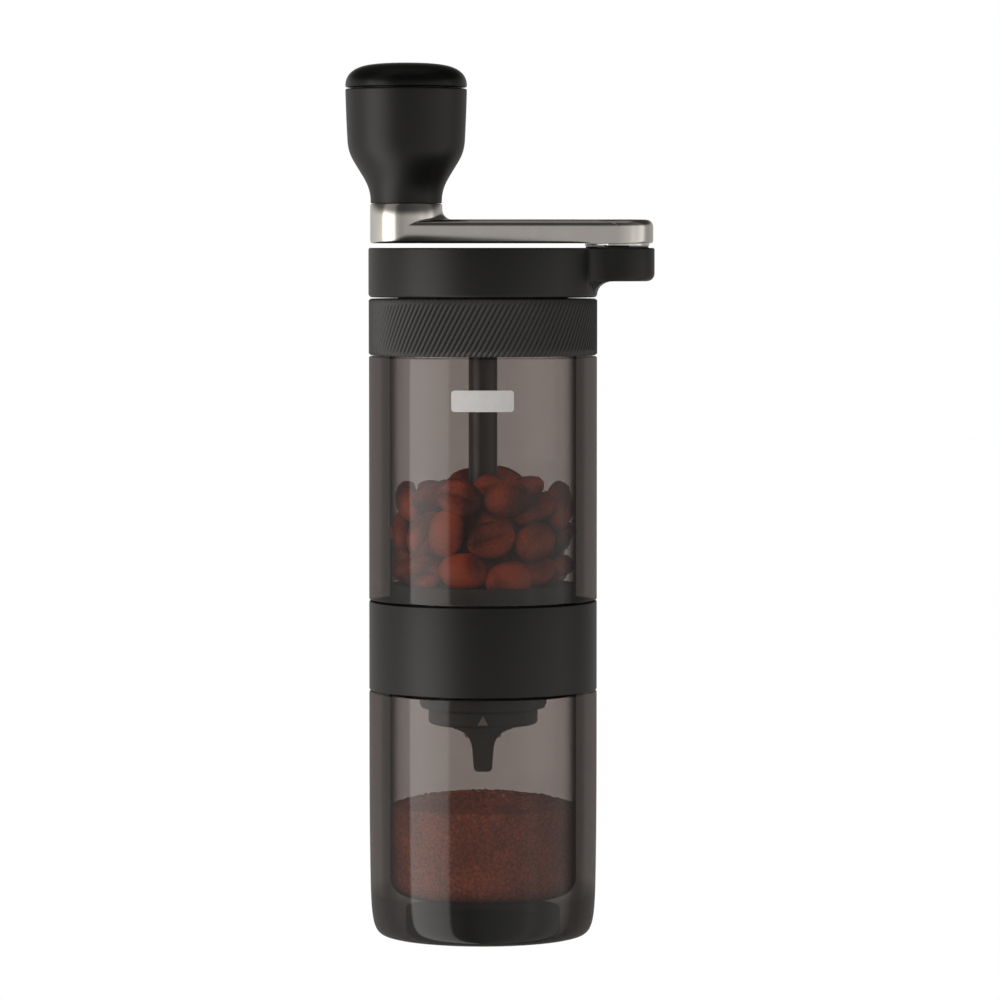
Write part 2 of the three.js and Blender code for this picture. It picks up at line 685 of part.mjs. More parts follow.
const armGroup = subAssembly(pivotGroup, 0, 0, crank.armBottom - body.ringTop - gap);
piece("crank_arm", crankArm(), finish.castSteel, armGroup);
piece("pivot_screw", pivotScrew(), finish.steel, armGroup);
const axleGroup = subAssembly(armGroup, -crank.armLength);
piece("knob_axle", knobAxle(), finish.steel, axleGroup);
piece("knob_clip", knobClip(), finish.steel, axleGroup);

const knobGroup = subAssembly(axleGroup, 0, 0, crank.bossHeight);
piece("knob_shell", knobShell(), finish.blackPlastic, knobGroup);
piece("knob_cap", knobCap(), finish.blackPlastic, knobGroup);
piece("lower_knob_bush", knobBush(0.6, 6.6, false), finish.nylon, knobGroup);
piece("upper_knob_bush", knobBush(9, 14.9, true), finish.nylon, knobGroup);

export default grinder;
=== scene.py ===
import json
import math

import bpy
import numpy as np
from mathutils import Matrix, Vector

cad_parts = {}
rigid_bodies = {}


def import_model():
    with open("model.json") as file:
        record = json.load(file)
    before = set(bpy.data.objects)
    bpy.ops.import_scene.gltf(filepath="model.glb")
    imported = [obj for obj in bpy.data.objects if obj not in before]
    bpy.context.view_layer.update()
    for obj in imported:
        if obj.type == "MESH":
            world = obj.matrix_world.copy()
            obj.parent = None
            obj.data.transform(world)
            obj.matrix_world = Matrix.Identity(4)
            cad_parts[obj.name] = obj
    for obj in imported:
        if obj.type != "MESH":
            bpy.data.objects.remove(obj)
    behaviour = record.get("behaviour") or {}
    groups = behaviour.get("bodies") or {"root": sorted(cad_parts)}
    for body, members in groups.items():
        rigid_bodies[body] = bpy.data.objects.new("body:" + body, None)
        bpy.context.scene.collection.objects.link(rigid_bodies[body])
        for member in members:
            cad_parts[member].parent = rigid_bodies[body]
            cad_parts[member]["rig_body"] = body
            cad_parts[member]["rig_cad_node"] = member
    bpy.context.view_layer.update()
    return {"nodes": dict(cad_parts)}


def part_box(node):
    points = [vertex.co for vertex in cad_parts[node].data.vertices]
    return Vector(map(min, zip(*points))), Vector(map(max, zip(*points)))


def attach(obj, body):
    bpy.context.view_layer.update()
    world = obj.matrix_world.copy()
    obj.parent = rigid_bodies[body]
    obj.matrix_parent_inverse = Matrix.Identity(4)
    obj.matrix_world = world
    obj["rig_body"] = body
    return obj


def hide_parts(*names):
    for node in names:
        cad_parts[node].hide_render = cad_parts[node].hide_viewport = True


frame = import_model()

mm = 0.001


# Modelling helpers. All sizes are in millimetres.

def deselectAll():
    if bpy.context.object and bpy.context.object.mode != "OBJECT":
        bpy.ops.object.mode_set(mode="OBJECT")
    bpy.ops.object.select_all(action="DESELECT")


def only(piece):
    deselectAll()
    piece.select_set(True)
    bpy.context.view_layer.objects.active = piece


def span(node):  # where a CAD node is: centre in x and y, lowest and highest level
    low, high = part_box(node)
    return (low.x + high.x) / 2 / mm, (low.y + high.y) / 2 / mm, low.z / mm, high.z / mm


def arc(centre, radius, start, end, steps=6):
    cx, cz = centre
    rx, rz = radius if isinstance(radius, tuple) else (radius, radius)
    points = []
    for i in range(steps + 1):
        angle = math.radians(start + (end - start) * i / steps)
        points.append((cx + rx * math.cos(angle), cz + rz * math.sin(angle)))
    return points


def curve(a, b, c, d, steps=10):  # cubic, without its first point
    points = []
    for i in range(1, steps + 1):
        t = i / steps
        k = ((1 - t) ** 3, 3 * t * (1 - t) ** 2, 3 * t * t * (1 - t), t ** 3)
        points.append(tuple(sum(w * p[n] for w, p in zip(k, (a, b, c, d))) for n in (0, 1)))
    return points


def around(radius, start, count=3):  # places round the main axis
    angles = [math.radians(start + 360 / count * i) for i in range(count)]
    return [(radius * math.cos(a), radius * math.sin(a), a) for a in angles]


def applied(piece):
    only(piece)
    bpy.ops.object.transform_apply(location=True, rotation=True, scale=True)
    return piece


def smooth(piece, angle=35):
    only(piece)
    bpy.ops.object.shade_smooth_by_angle(angle=math.radians(angle))
    return piece


# A round piece drawn up from a circle: each outline point is one extrusion, scaled to its radius.
# An outline that starts on the axis gets solid ends, and one that never meets it is bridged shut.
def turned(name, outline, at=(0, 0), segments=128, angle=35):
    solid = outline[0][0] == 0
    points = outline[1:] if solid else outline
    (radius, level), (x, y) = points[0], at
    deselectAll()
    bpy.ops.mesh.primitive_circle_add(
        vertices=segments, radius=radius * mm, fill_type="NGON" if solid else "NOTHING",
        location=(x * mm, y * mm, level * mm))
    piece = bpy.context.object
    piece.name = piece.data.name = name
    bpy.ops.object.mode_set(mode="EDIT")
    bpy.ops.mesh.select_all(action="SELECT")
    for r, z in points[1:]:
        bpy.ops.mesh.extrude_region_move(TRANSFORM_OT_translate={"value": (0, 0, (z - level) * mm)})
        if r == 0:
            bpy.ops.mesh.merge(type="COLLAPSE")
            break
        grow = r / radius
        bpy.ops.transform.resize(value=(grow, grow, 1), center_override=(x * mm, y * mm, z * mm))
        radius, level = r, z
    if not solid:
        bpy.ops.mesh.select_all(action="DESELECT")
        bpy.ops.mesh.select_mode(type="EDGE")
        bpy.ops.mesh.select_non_manifold()
        bpy.ops.mesh.bridge_edge_loops()
    bpy.ops.mesh.select_mode(type="VERT")
    bpy.ops.mesh.select_all(action="SELECT")
    bpy.ops.mesh.normals_make_consistent(inside=False)
    bpy.ops.object.mode_set(mode="OBJECT")
    return smooth(applied(piece), angle)


def rod(radius, low, high, at=(0, 0), segments=48):
    return turned("rod", [(0, low), (radius, low), (radius, high), (0, high)], at, segments)


def block(size, centre, turn=0):
    deselectAll()
    bpy.ops.mesh.primitive_cube_add(size=1, location=[c * mm for c in centre], rotation=(0, 0, turn))
    bpy.context.object.scale = [s * mm for s in size]
    return applied(bpy.context.object)


# A grid whose points a formula places, closed where its edges meet
def formed(name, place, across, along, angle=35):
    deselectAll()
    bpy.ops.mesh.primitive_grid_add(x_subdivisions=across, y_subdivisions=along, size=1, location=(0, 0, 0))
    piece = bpy.context.object
    piece.name = piece.data.name = name
    for vertex in piece.data.vertices:
        u = round((vertex.co.x + 0.5) * across) / across
        v = round((vertex.co.y + 0.5) * along) / along
        vertex.co = Vector(place(u, v)) * mm
    bpy.ops.object.mode_set(mode="EDIT")
    bpy.ops.mesh.select_all(action="SELECT")
    bpy.ops.mesh.remove_doubles(threshold=0.002 * mm)
    bpy.ops.mesh.dissolve_degenerate(threshold=0.002 * mm)
    bpy.ops.mesh.select_all(action="SELECT")
    bpy.ops.mesh.normals_make_consistent(inside=False)
    bpy.ops.object.mode_set(mode="OBJECT")
    return smooth(piece, angle)


# A flat outline of (x, z) points, drawn out along y
def drawnOut(outline, start, end):
    deselectAll()
    bpy.ops.mesh.primitive_circle_add(vertices=len(outline), fill_type="NGON", location=(0, 0, 0))
    piece = bpy.context.object
    for vertex, (x, z) in zip(piece.data.vertices, outline):
        vertex.co = Vector((x, start, z)) * mm
    bpy.ops.object.mode_set(mode="EDIT")
    bpy.ops.mesh.select_all(action="SELECT")
    bpy.ops.mesh.extrude_region_move(TRANSFORM_OT_translate={"value": (0, (end - start) * mm, 0)})
    bpy.ops.mesh.select_all(action="SELECT")
    bpy.ops.mesh.normals_make_consistent(inside=False)
    bpy.ops.object.mode_set(mode="OBJECT")
    return piece


def combined(piece, tool, operation):
    only(piece)
    modifier = piece.modifiers.new(operation.lower(), "BOOLEAN")
    modifier.operation = operation
    modifier.solver = "EXACT"
    modifier.object = tool
    bpy.ops.object.modifier_apply(modifier=modifier.name)
    bpy.data.objects.remove(tool)
    return piece


def bevelled(piece, width, segments=2, angle=40):
    only(piece)
    modifier = piece.modifiers.new("rounding", "BEVEL")
    modifier.width = width * mm
    modifier.segments = segments
    modifier.limit_method = "ANGLE"
    modifier.angle_limit = math.radians(angle)
    bpy.ops.object.modifier_apply(modifier=modifier.name)
    return piece


def joined(name, pieces):
    deselectAll()
    for piece in pieces:
        piece.select_set(True)
    bpy.context.view_layer.objects.active = pieces[0]
    bpy.ops.object.join()
    pieces[0].name = pieces[0].data.name = name
    return pieces[0]


def dress(piece, finish, slot, body, *nodes):
    piece.data.materials.clear()
    piece.data.materials.append(finish)
    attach(piece, body)
    if nodes:
        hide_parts(*nodes)
    return piece


# Shader helpers

class Signal:  # a socket that takes part in sums and products
    def __init__(self, nodes, socket):
        self.nodes = nodes
        self.socket = socket

    def maths(self, operation, *others, swapped=False):
        terms = [self.socket, *[o.socket if isinstance(o, Signal) else o for o in others]]
        if swapped:
            terms.reverse()
        made = self.nodes.node("Math", {"operation": operation}, dict(enumerate(terms)))
        return Signal(self.nodes, made.outputs[0])

    def __add__(self, other):
        return self.maths("ADD", other)

    def __radd__(self, other):
        return self.maths("ADD", other)

    def __sub__(self, other):
        return self.maths("SUBTRACT", other)

    def __rsub__(self, other):
        return self.maths("SUBTRACT", other, swapped=True)

    def __mul__(self, other):
        return self.maths("MULTIPLY", other)

    def __rmul__(self, other):
        return self.maths("MULTIPLY", other)

    def between(self, low, high):  # 0 below low, 1 above high
        made = self.nodes.node(
            "MapRange", {"interpolation_type": "SMOOTHSTEP"},
            {"Value": self, "From Min": low, "From Max": high})
        return Signal(self.nodes, made.outputs[0])


class Nodes:  # the node tree of a material or of the world
    def __init__(self, owner):
        self.owner = owner
        owner.use_nodes = True
        self.tree = owner.node_tree
        self.tree.nodes.clear()

    def node(self, kind, settings=None, sockets=None):
        made = self.tree.nodes.new("ShaderNode" + kind)
        for key, value in (settings or {}).items():
            if key == "stops":
                stops = made.color_ramp.elements
                stops[1].position, stops[1].color = value[-1][0], (*value[-1][1], 1)
                stops[0].position, stops[0].color = value[0][0], (*value[0][1], 1)
                for position, colour in value[1:-1]:
                    stops.new(position).color = (*colour, 1)
            else:
                setattr(made, key, value)
        for key, value in (sockets or {}).items():
            source = value.socket if isinstance(value, Signal) else value
            if isinstance(source, bpy.types.Node):
                source = source.outputs[0]
            if isinstance(source, bpy.types.NodeSocket):
                self.tree.links.new(source, made.inputs[key])
            else:
                made.inputs[key].default_value = source
        return made

    def signal(self, kind, output=0, settings=None, sockets=None):
        return Signal(self, self.node(kind, settings, sockets).outputs[output])

    def parts(self, vector):  # x, y and z of a vector
        made = self.node("SeparateXYZ", sockets={"Vector": vector})
        return [Signal(self, made.outputs[n]) for n in range(3)]


class Finish(Nodes):
    def __init__(self, name):
        super().__init__(bpy.data.materials.new(name))
        self.place = self.node("TexCoord").outputs["Object"]

    def noise(self, size, detail=2, roughness=0.5, stretch=None):  # size in millimetres
        place = self.place
        if stretch:
            place = self.node("Mapping", sockets={"Vector": place, "Scale": stretch})
        return self.signal("TexNoise", "Fac", sockets={
            "Vector": place, "Scale": 1 / (size * mm), "Detail": detail, "Roughness": roughness})

    def colours(self, factor, *stops):
        return self.node("ValToRGB", {"stops": stops}, {"Fac": factor})

    def bump(self, height, depth, strength=1):  # depth in millimetres
        return self.node("Bump", sockets={"Height": height, "Distance": depth * mm, "Strength": strength})

    def principled(self, **sockets):
        spelled = {
            "colour": "Base Color", "roughness": "Roughness", "metallic": "Metallic", "normal": "Normal",
            "coat": "Coat Weight", "coatRoughness": "Coat Roughness", "specular": "Specular IOR Level",
            "emission": "Emission Color", "emissionStrength": "Emission Strength",
        }
        return self.node("BsdfPrincipled", sockets={spelled[k]: v for k, v in sockets.items()})

    def shaded(self, surface):
        self.node("OutputMaterial", sockets={"Surface": surface})
        return self.owner


# Camera and light

shot = {"lens": 182.7, "distance": 1113.1, "aside": 3.73, "height": 150.35, "tilt": -2.79}


def makeCamera():
    data = bpy.data.cameras.new("camera")
    data.lens = shot["lens"]
    data.sensor_width = 36
    data.clip_start = 0.05
    data.clip_end = 20
    camera = bpy.data.objects.new("camera", data)
    camera.location = (shot["aside"] * mm, -shot["distance"] * mm, shot["height"] * mm)
    camera.rotation_euler = (math.radians(90 + shot["tilt"]), 0, 0)
    bpy.context.scene.collection.objects.link(camera)
    bpy.context.scene.camera = camera


# Area lamps: bearing is the angle round the object from the camera, left positive, in degrees.
# The one above looks straight down, and the others look level.
lamps = {
    "leftSoftbox": {"bearing": 56, "distance": 900, "size": (760, 1300), "level": 250, "glow": 2.8},
    "rightSoftbox": {"bearing": -70, "distance": 900, "size": (900, 1300), "level": 250, "glow": 0.4},
    "topSoftbox": {"bearing": 0, "distance": 10, "size": (900, 900), "level": 1100, "glow": 0.15},
    "frontFill": {"bearing": 4, "distance": 900, "size": (220, 700), "level": 480, "glow": 12},
}


def makeLights():
    for name, lamp in lamps.items():
        data = bpy.data.lights.new(name, "AREA")
        data.shape = "RECTANGLE"
        data.size, data.size_y = [side * mm for side in lamp["size"]]
        data.energy = lamp["glow"] * math.pi * data.size * data.size_y
        light = bpy.data.objects.new(name, data)
        bearing = math.radians(lamp["bearing"])
        away = lamp["distance"] * mm
        light.location = (-away * math.sin(bearing), -away * math.cos(bearing), lamp["level"] * mm)
        aim = Vector((0, 0, 0.1)) - light.location
        if name != "topSoftbox":
            aim.z = 0
        light.rotation_euler = aim.to_track_quat("-Z", "Y").to_euler()
        light.visible_glossy = name == "topSoftbox"  # the room has the others' reflections
        bpy.context.scene.collection.objects.link(light)


# The room is white where the camera looks at it. Its light is an even grey, dimmer above, and its
# reflection is a brightness for each angle from the camera, right positive: a tall softbox at the
# left, a faint one at the right. The camera sees through most of the floor, to a cup pulled down.
room = {
    "light": 0.3, "above": 0.12, "aboveFrom": 0.1, "aboveTo": 0.45, "tint": (1, 0.975, 0.94, 1),
    "floorSize": 6, "floorLight": 0.1, "floorSeen": 0.96, "floorShown": 0.12, "brightest": 4,
    "reflected": [
        (-180, 0.5), (-106, 0.7), (-80, 0.8), (-78, 3), (-36, 1.6), (-33, 0.42), (-15, 0.33), (0, 0.42),
        (22, 0.52), (41, 0.62), (50, 0.8), (64, 0.72), (88, 1.05), (104, 0.35), (135, 0.4), (180, 0.5)],
}


def makeRoom():
    r = room
    world = Nodes(bpy.data.worlds.new("room"))
    x, y, z = world.parts(world.node("TexCoord").outputs["Generated"])
    turn = x.maths("ARCTAN2", 0 - y) * (0.5 / math.pi) + 0.5
    stops = [(0.5 + angle / 360, (shine / r["brightest"],) * 3) for angle, shine in r["reflected"]]
    mirrored = world.signal("ValToRGB", "Color", {"stops": stops}, {"Fac": turn})
    glossy = world.signal("LightPath", "Is Glossy Ray")
    level = r["light"] + glossy * (mirrored * r["brightest"] - r["light"])
    dimmed = level * (1 - z.between(r["aboveFrom"], r["aboveTo"]) * (1 - r["above"]))
    grey = world.node("Background", sockets={"Color": r["tint"], "Strength": dimmed})
    white = world.node("Background", sockets={"Color": (1, 1, 1, 1)})
    camera = world.signal("LightPath", "Is Camera Ray")
    shown = world.node("MixShader", sockets={0: camera, 1: grey, 2: white})
    world.node("OutputWorld", sockets={"Surface": shown})
    bpy.context.scene.world = world.owner
    bpy.context.scene.view_settings.view_transform = "Standard"

    deselectAll()
    bpy.ops.mesh.primitive_plane_add(size=r["floorSize"], location=(0, 0, -0.2 * mm))
    floor = bpy.context.object
    floor.name = "floor"
    pale = Finish("paleFloor")
    shade = pale.colours(pale.noise(40), (0.3, (0.2, 0.2, 0.2)), (0.7, (0.22, 0.22, 0.22)))
    lit, seen = [
        pale.principled(colour=shade, roughness=0.7, emission=(1, 1, 1, 1), emissionStrength=r[glow])
        for glow in ("floorLight", "floorSeen")]
    clear = pale.node("BsdfTransparent", sockets={"Color": (1, 1, 1, 1)})
    faint = pale.node("MixShader", sockets={0: r["floorShown"], 1: clear, 2: seen})
    camera = pale.signal("LightPath", "Is Camera Ray")
    shown = pale.node("MixShader", sockets={0: camera, 1: lit, 2: faint})
    floor.data.materials.append(pale.shaded(shown))
    floor.visible_glossy = False  # the room goes on below it in reflections


makeCamera()
makeLights()
makeRoom()
print("stage: camera, lights and floor")


# Finishes

def satinBlack(name, base=0.003, rough=0.42, grain=0.25, specular=0.42):
    f = Finish(name)
    fine = f.noise(grain, detail=3)
    broad = f.noise(18, detail=1)
    darkest, lightest = (base * 0.92, base * 0.9, base * 0.84), (base * 1.1, base * 1.07, base)
    tone = f.colours(broad, (0.3, darkest), (0.7, lightest))
    return f.shaded(f.principled(
        colour=tone, roughness=rough - 0.04 + 0.05 * broad + 0.04 * fine, specular=specular,
        normal=f.bump(fine, 0.012, 0.5)))


# See-through wall. Seen at a slant it turns dark where light cannot cross to the hollow inside, and
# then lighter again in the wall's own thickness: slant has these pairs of slant and darkness. The
# cup's thick floor, below floorTop, lets little light through. A slanting wall mirrors more.
tube = {
    "tint": (0.418, 0.378, 0.36), "dark": (0.1, 0.09, 0.085), "innerDark": (0.3, 0.27, 0.25),
    "innerGloss": (0.4, 0.37, 0.35), "floorTop": 11.5, "floorDark": 0.75, "mirror": 0.038, "rimMirror": 0.2,
    "slant": [
        (0.16, 0), (0.28, 0.14), (0.34, 0.3), (0.45, 0.78), (0.52, 0.7), (0.58, 0.5), (0.85, 0.55),
        (0.97, 0.85)],
}


def smokedOutside():
    f = Finish("smokedOuter")
    facing = f.signal("LayerWeight", "Facing", sockets={"Blend": 0.5})
    slant = f.colours(facing, *[(at, (grey, grey, grey)) for at, grey in tube["slant"]])
    level = f.parts(f.place)[2]
    floor = 1 - level.between((tube["floorTop"] - 2.5) * mm, tube["floorTop"] * mm)
    through = f.node("BsdfTransparent", sockets={"Color": (*tube["tint"], 1)})
    dark = f.node("BsdfTransparent", sockets={"Color": (*tube["dark"], 1)})
    wall = f.node("MixShader", sockets={0: slant, 1: through, 2: dark})
    deep = f.node("MixShader", sockets={0: floor * tube["floorDark"], 1: wall, 2: dark})
    gloss = f.node("BsdfGlossy", sockets={"Color": (1, 1, 1, 1), "Roughness": 0.03 + 0.02 * f.noise(6)})
    mirror = tube["mirror"] + tube["rimMirror"] * facing.maths("POWER", 4)
    return f.shaded(f.node("MixShader", sockets={0: mirror, 1: deep, 2: gloss}))


def smokedInside():
    f = Finish("smokedInner")
    facing = f.signal("LayerWeight", "Facing", sockets={"Blend": 0.5})
    clear = f.node("BsdfTransparent", sockets={"Color": (1, 1, 1, 1)})
    dark = f.node("BsdfTransparent", sockets={"Color": (*tube["innerDark"], 1)})
    slant = facing.between(0.55, 0.85)
    wall = f.node("MixShader", sockets={0: slant, 1: clear, 2: dark})
    rough = 0.05 + 0.02 * f.noise(6)
    gloss = f.node("BsdfGlossy", sockets={"Color": (*tube["innerGloss"], 1), "Roughness": rough})
    return f.shaded(f.node("MixShader", sockets={0: 0.01 + 0.04 * slant, 1: wall, 2: gloss}))


def castSteel():
    f = Finish("castSteel")
    fine = f.noise(0.12)
    cloud = f.noise(7, detail=3)
    tone = f.colours(cloud, (0.35, (0.71, 0.68, 0.645)), (0.65, (0.77, 0.74, 0.705)))
    return f.shaded(f.principled(
        colour=tone, metallic=1.0, roughness=0.15 + 0.05 * cloud + 0.03 * fine,
        normal=f.bump(fine, 0.004, 0.4)))


def turnedSteel(name, tone=0.6, rough=0.2):
    f = Finish(name)
    rings = f.noise(0.25, stretch=(0.02, 0.02, 1))
    darkest, lightest = (tone * 0.94, tone * 0.93, tone * 0.91), (tone, tone * 0.99, tone * 0.97)
    return f.shaded(f.principled(
        colour=f.colours(f.noise(5), (0.3, darkest), (0.7, lightest)), metallic=1.0,
        roughness=rough - 0.05 + 0.12 * rings, normal=f.bump(rings, 0.004, 0.5)))


def grained(name, low, high, size, rough, depth, metallic=0.0):
    f = Finish(name)
    grain = f.noise(size, detail=3)
    return f.shaded(f.principled(
        colour=f.colours(grain, (0.3, low), (0.7, high)), metallic=metallic,
        roughness=rough + 0.12 * grain, normal=f.bump(grain, depth, 0.5)))


def roastedBean():
    f = Finish("roastedBean")
    each = f.noise(7, detail=0)
    mottle = f.noise(0.8, detail=4, roughness=0.65)
    tone = f.colours(
        each * 0.7 + mottle * 0.3,
        (0.36, (0.12, 0.018, 0.007)), (0.5, (0.4, 0.058, 0.016)), (0.62, (0.72, 0.13, 0.036)))
    return f.shaded(f.principled(
        colour=tone, roughness=0.3 + 0.25 * mottle, coat=0.25, coatRoughness=0.25,
        normal=f.bump(mottle, 0.12, 0.6)))


def groundCoffee():
    f = Finish("groundCoffee")
    grain = f.noise(0.55, detail=4, roughness=0.7)
    fleck = f.noise(0.6, detail=1)
    patch = f.noise(9)
    tone = f.colours(
        fleck * 0.6 + patch * 0.4,
        (0.36, (0.36, 0.14, 0.1)), (0.5, (0.58, 0.2, 0.135)), (0.66, (0.95, 0.29, 0.16)))
    return f.shaded(f.principled(colour=tone, roughness=0.85, specular=0.2, normal=f.bump(grain, 0.5, 0.9)))


black = satinBlack("satinBlack")
# The knurled ring's black is lighter than the plain black: painted light, for the light its ridges catch.
gripBlack = satinBlack("gripBlack", base=0.022, rough=0.38, grain=0.4, specular=0.5)
# The black of the parts seen through the smoked walls is much lighter than the plain black: a painted veil,
# for the grey haze of reflections over them.
innerBlack = satinBlack("innerBlack", base=0.06, rough=0.5, grain=0.5)
capBlack = satinBlack("capBlack", base=0.002, rough=0.3, grain=0.6, specular=0.22)
smokedOuter = smokedOutside()
smokedInner = smokedInside()
steelCast = castSteel()
steelTurned = turnedSteel("turnedSteel")
# The shaft's steel is much darker than the turned steel: painted shade, for the shade on it inside the
# hopper.
steelShaftPaintedShade = turnedSteel("shaftSteel", tone=0.13, rough=0.3)
steelPolished = turnedSteel("polishedSteel", tone=0.8, rough=0.1)
steelBurr = turnedSteel("burrSteel", tone=0.5, rough=0.35)
brass = grained("brass", (0.62, 0.44, 0.2), (0.7, 0.52, 0.26), 1.2, 0.22, 0.005, metallic=1.0)
nylon = grained("nylon", (0.66, 0.64, 0.57), (0.72, 0.7, 0.63), 3, 0.45, 0.02)
silicone = grained("silicone", (0.004, 0.004, 0.004), (0.009, 0.009, 0.009), 0.3, 0.6, 0.02)
palePrint = grained("palePrint", (0.44, 0.425, 0.41), (0.47, 0.455, 0.44), 1.5, 0.5, 0.01)
bean = roastedBean()
grounds = groundCoffee()
print("finishes made")


# Hopper and cup

hopper = {
    "inside": 20.5, "outside": 25, "spigot": 22.6, "shoulderLow": 74.3, "shoulderHigh": 127.7,
    "round": 0.35,
}
cup = {
    "inside": 20.5, "outside": 25, "floor": 9, "inCorner": 4, "recess": 17, "recessTop": 6.3,
    "flatFoot": 21, "shoulder": 54.25, "spigot": 22.4,
}


def dressShell(piece, body, node, isInside):  # the inside of the wall takes the second finish
    dress(piece, smokedOuter, "smoked_plastic", body, node)
    piece.data.materials.append(smokedInner)
    for polygon in piece.data.polygons:
        centre = polygon.center / mm
        if isInside(math.hypot(centre.x, centre.y), centre.z):
            polygon.material_index = 1


def makeHopper():
    _, _, low, high = span("hopper_tube")
    h, r = hopper, hopper["round"]
    outline = [
        (h["inside"], low), (h["spigot"], low), (h["spigot"], h["shoulderLow"]),
        *arc((h["outside"] - r, h["shoulderLow"] + r), r, -90, 0, 4),
        *arc((h["outside"] - r, h["shoulderHigh"] - r), r, 0, 90, 4),
        (h["spigot"], h["shoulderHigh"]), (h["spigot"], high), (h["inside"], high),
    ]
    piece = turned("clear_hopper", outline, segments=192)
    dressShell(piece, "housing", "hopper_tube", lambda radius, level: radius < h["inside"] + 0.1)


def makeCup():
    _, _, low, high = span("grounds_cup")
    c = cup
    outline = [
        (0, c["recessTop"]), (c["recess"], c["recessTop"]),
        (c["recess"], low + 0.4), (c["recess"] + 0.4, low),
        *curve((c["flatFoot"], low), (24.1, low), (24.5, low + 3), (24.75, 11), 14),
        *curve((24.75, 11), (24.9, 18), (25, 28), (25, 38), 4),
        *arc((c["outside"] - 0.35, c["shoulder"] - 0.35), 0.35, 0, 90, 4),
        (c["spigot"], c["shoulder"]), (c["spigot"], 57.6), (21.7, 57.6), (21.7, 59.2), (c["spigot"], 59.2),
        *arc((22.1, high - 0.3), 0.3, 0, 90, 3), *arc((c["inside"] + 0.3, high - 0.3), 0.3, 90, 180, 3),
        *arc((c["inside"] - c["inCorner"], c["floor"] + c["inCorner"]), c["inCorner"], 0, -90, 8),
        (0, c["floor"]),
    ]
    piece = turned("clear_cup", outline, segments=192)
    dressShell(piece, "catch_cup", "grounds_cup",
               lambda radius, level: radius < c["inside"] + 0.1 and level > c["floor"] - 0.5)


def makeFootAndSeals():
    _, _, low, high = span("base_foot")
    outline = [
        (0, low), (15.6, low), (16.2, low + 0.2), (16.7, low + 0.8), (16.7, high - 0.3), (16.4, high),
        (0, high)]
    dress(turned("foot_pad", outline), silicone, "silicone", "catch_cup", "base_foot")
    _, _, low, high = span("cup_seal")
    bulge = arc((22.4, (low + high) / 2), (0.45, 0.6), -80, 80, 6)
    outline = [(21.85, low), (22.4, low), *bulge, (22.4, high), (21.85, high)]
    dress(turned("cup_lip_seal", outline), silicone, "silicone", "catch_cup", "cup_seal")
    _, _, low, high = span("hopper_gasket")
    outline = [(20.7, low), (22.5, low), (22.6, low + 0.1), (22.6, high - 0.1), (22.5, high), (20.7, high)]
    dress(turned("flat_gasket", outline), silicone, "silicone", "housing", "hopper_gasket")


makeHopper()
makeCup()
makeFootAndSeals()
print("hopper, cup, foot and seals made")


# Plain printed mark on the front of the hopper, in place of the badge in the photograph

mark = {
    "radius": 25.02, "thick": 0.06, "width": 13.6, "height": 4.6, "level": 118.5, "corner": 0.7,
    "strips": 24,
}


def makeMark():
    m = mark
    corner = m["corner"]
    outline = []
    for sx, sz, start in ((1, -1, -90), (1, 1, 0), (-1, 1, 90), (-1, -1, 180)):
        centre = (sx * (m["width"] / 2 - corner), m["level"] + sz * (m["height"] / 2 - corner))
        outline += arc(centre, corner, start, start + 90, 5)
    plate = drawnOut(outline, -40, -10)
    for i in range(1, m["strips"]):  # cut into narrow strips, which bend round the tube
        only(plate)
        bpy.ops.object.mode_set(mode="EDIT")
        bpy.ops.mesh.select_all(action="SELECT")
        x = m["width"] * (i / m["strips"] - 0.5) * mm
        bpy.ops.mesh.bisect(plane_co=(x, 0, 0), plane_no=(1, 0, 0))
        bpy.ops.object.mode_set(mode="OBJECT")
    for vertex in plate.data.vertices:
        angle = vertex.co.x / mm / m["radius"]
        radius = m["radius"] + (m["thick"] if vertex.co.y < -25 * mm else 0)
        vertex.co.x = radius * math.sin(angle) * mm
        vertex.co.y = -radius * math.cos(angle) * mm
    plate.name = plate.data.name = "plain_mark"
    dress(plate, palePrint, "nylon", "housing")


makeMark()
print("mark made")


# Collar and grip ring

grip = {"ridges": 132, "lean": 27, "depth": 0.42, "outside": 25.05, "edge": 0.45, "rows": 10}


def makeCollar():
    _, _, low, high = span("middle_collar")
    r = 0.3
    outline = [
        (23, low), *arc((25 - r, low + r), r, -90, 0, 4), *arc((25 - r, high - r), r, 0, 90, 4),
        (23, high), (23, 63.7), (20.7, 63.7), (20.7, 61.7), (23, 61.7),
    ]
    dress(turned("collar_band", outline, segments=192), black, "black_plastic", "housing", "middle_collar")


def makeGripRing():
    _, _, low, high = span("knurled_ring")
    g = grip
    rise = high - low
    turn = rise * math.tan(math.radians(g["lean"])) / g["outside"]
    inner = [(22, high), (19.2, high), (19, high - 0.2), (19, 137.9), (23, 137.9), (23, low), (24.2, low)]

    def place(u, v):  # v runs up the outside, over the top lip and down the bore
        k = v * (g["rows"] + 9)
        angle = u * 2 * math.pi
        if k > g["rows"] + 2:
            radius, z = inner[min(int(round(k)) - g["rows"] - 3, 6)]
            angle += turn if radius < 23 else 0
        elif k < 1:
            radius, z = g["outside"] - g["edge"], low
        elif k > g["rows"] + 1:
            radius, z = g["outside"] - g["edge"], high
            angle += turn
        else:
            t = (k - 1) / g["rows"]
            wave = abs(math.sin(angle * g["ridges"] / 2)) ** 0.8
            radius = g["outside"] - g["depth"] * (1 - wave)
            z = low + g["edge"] * 0.8 + (rise - g["edge"] * 1.6) * t
            angle += turn * t
        return radius * math.cos(angle), radius * math.sin(angle), z

    piece = formed("knurled_grip", place, g["ridges"] * 6, g["rows"] + 9, 60)
    dress(piece, gripBlack, "black_plastic", "housing", "knurled_ring")


makeCollar()
makeGripRing()
print("collar and grip ring made")


# Lid with its side tab

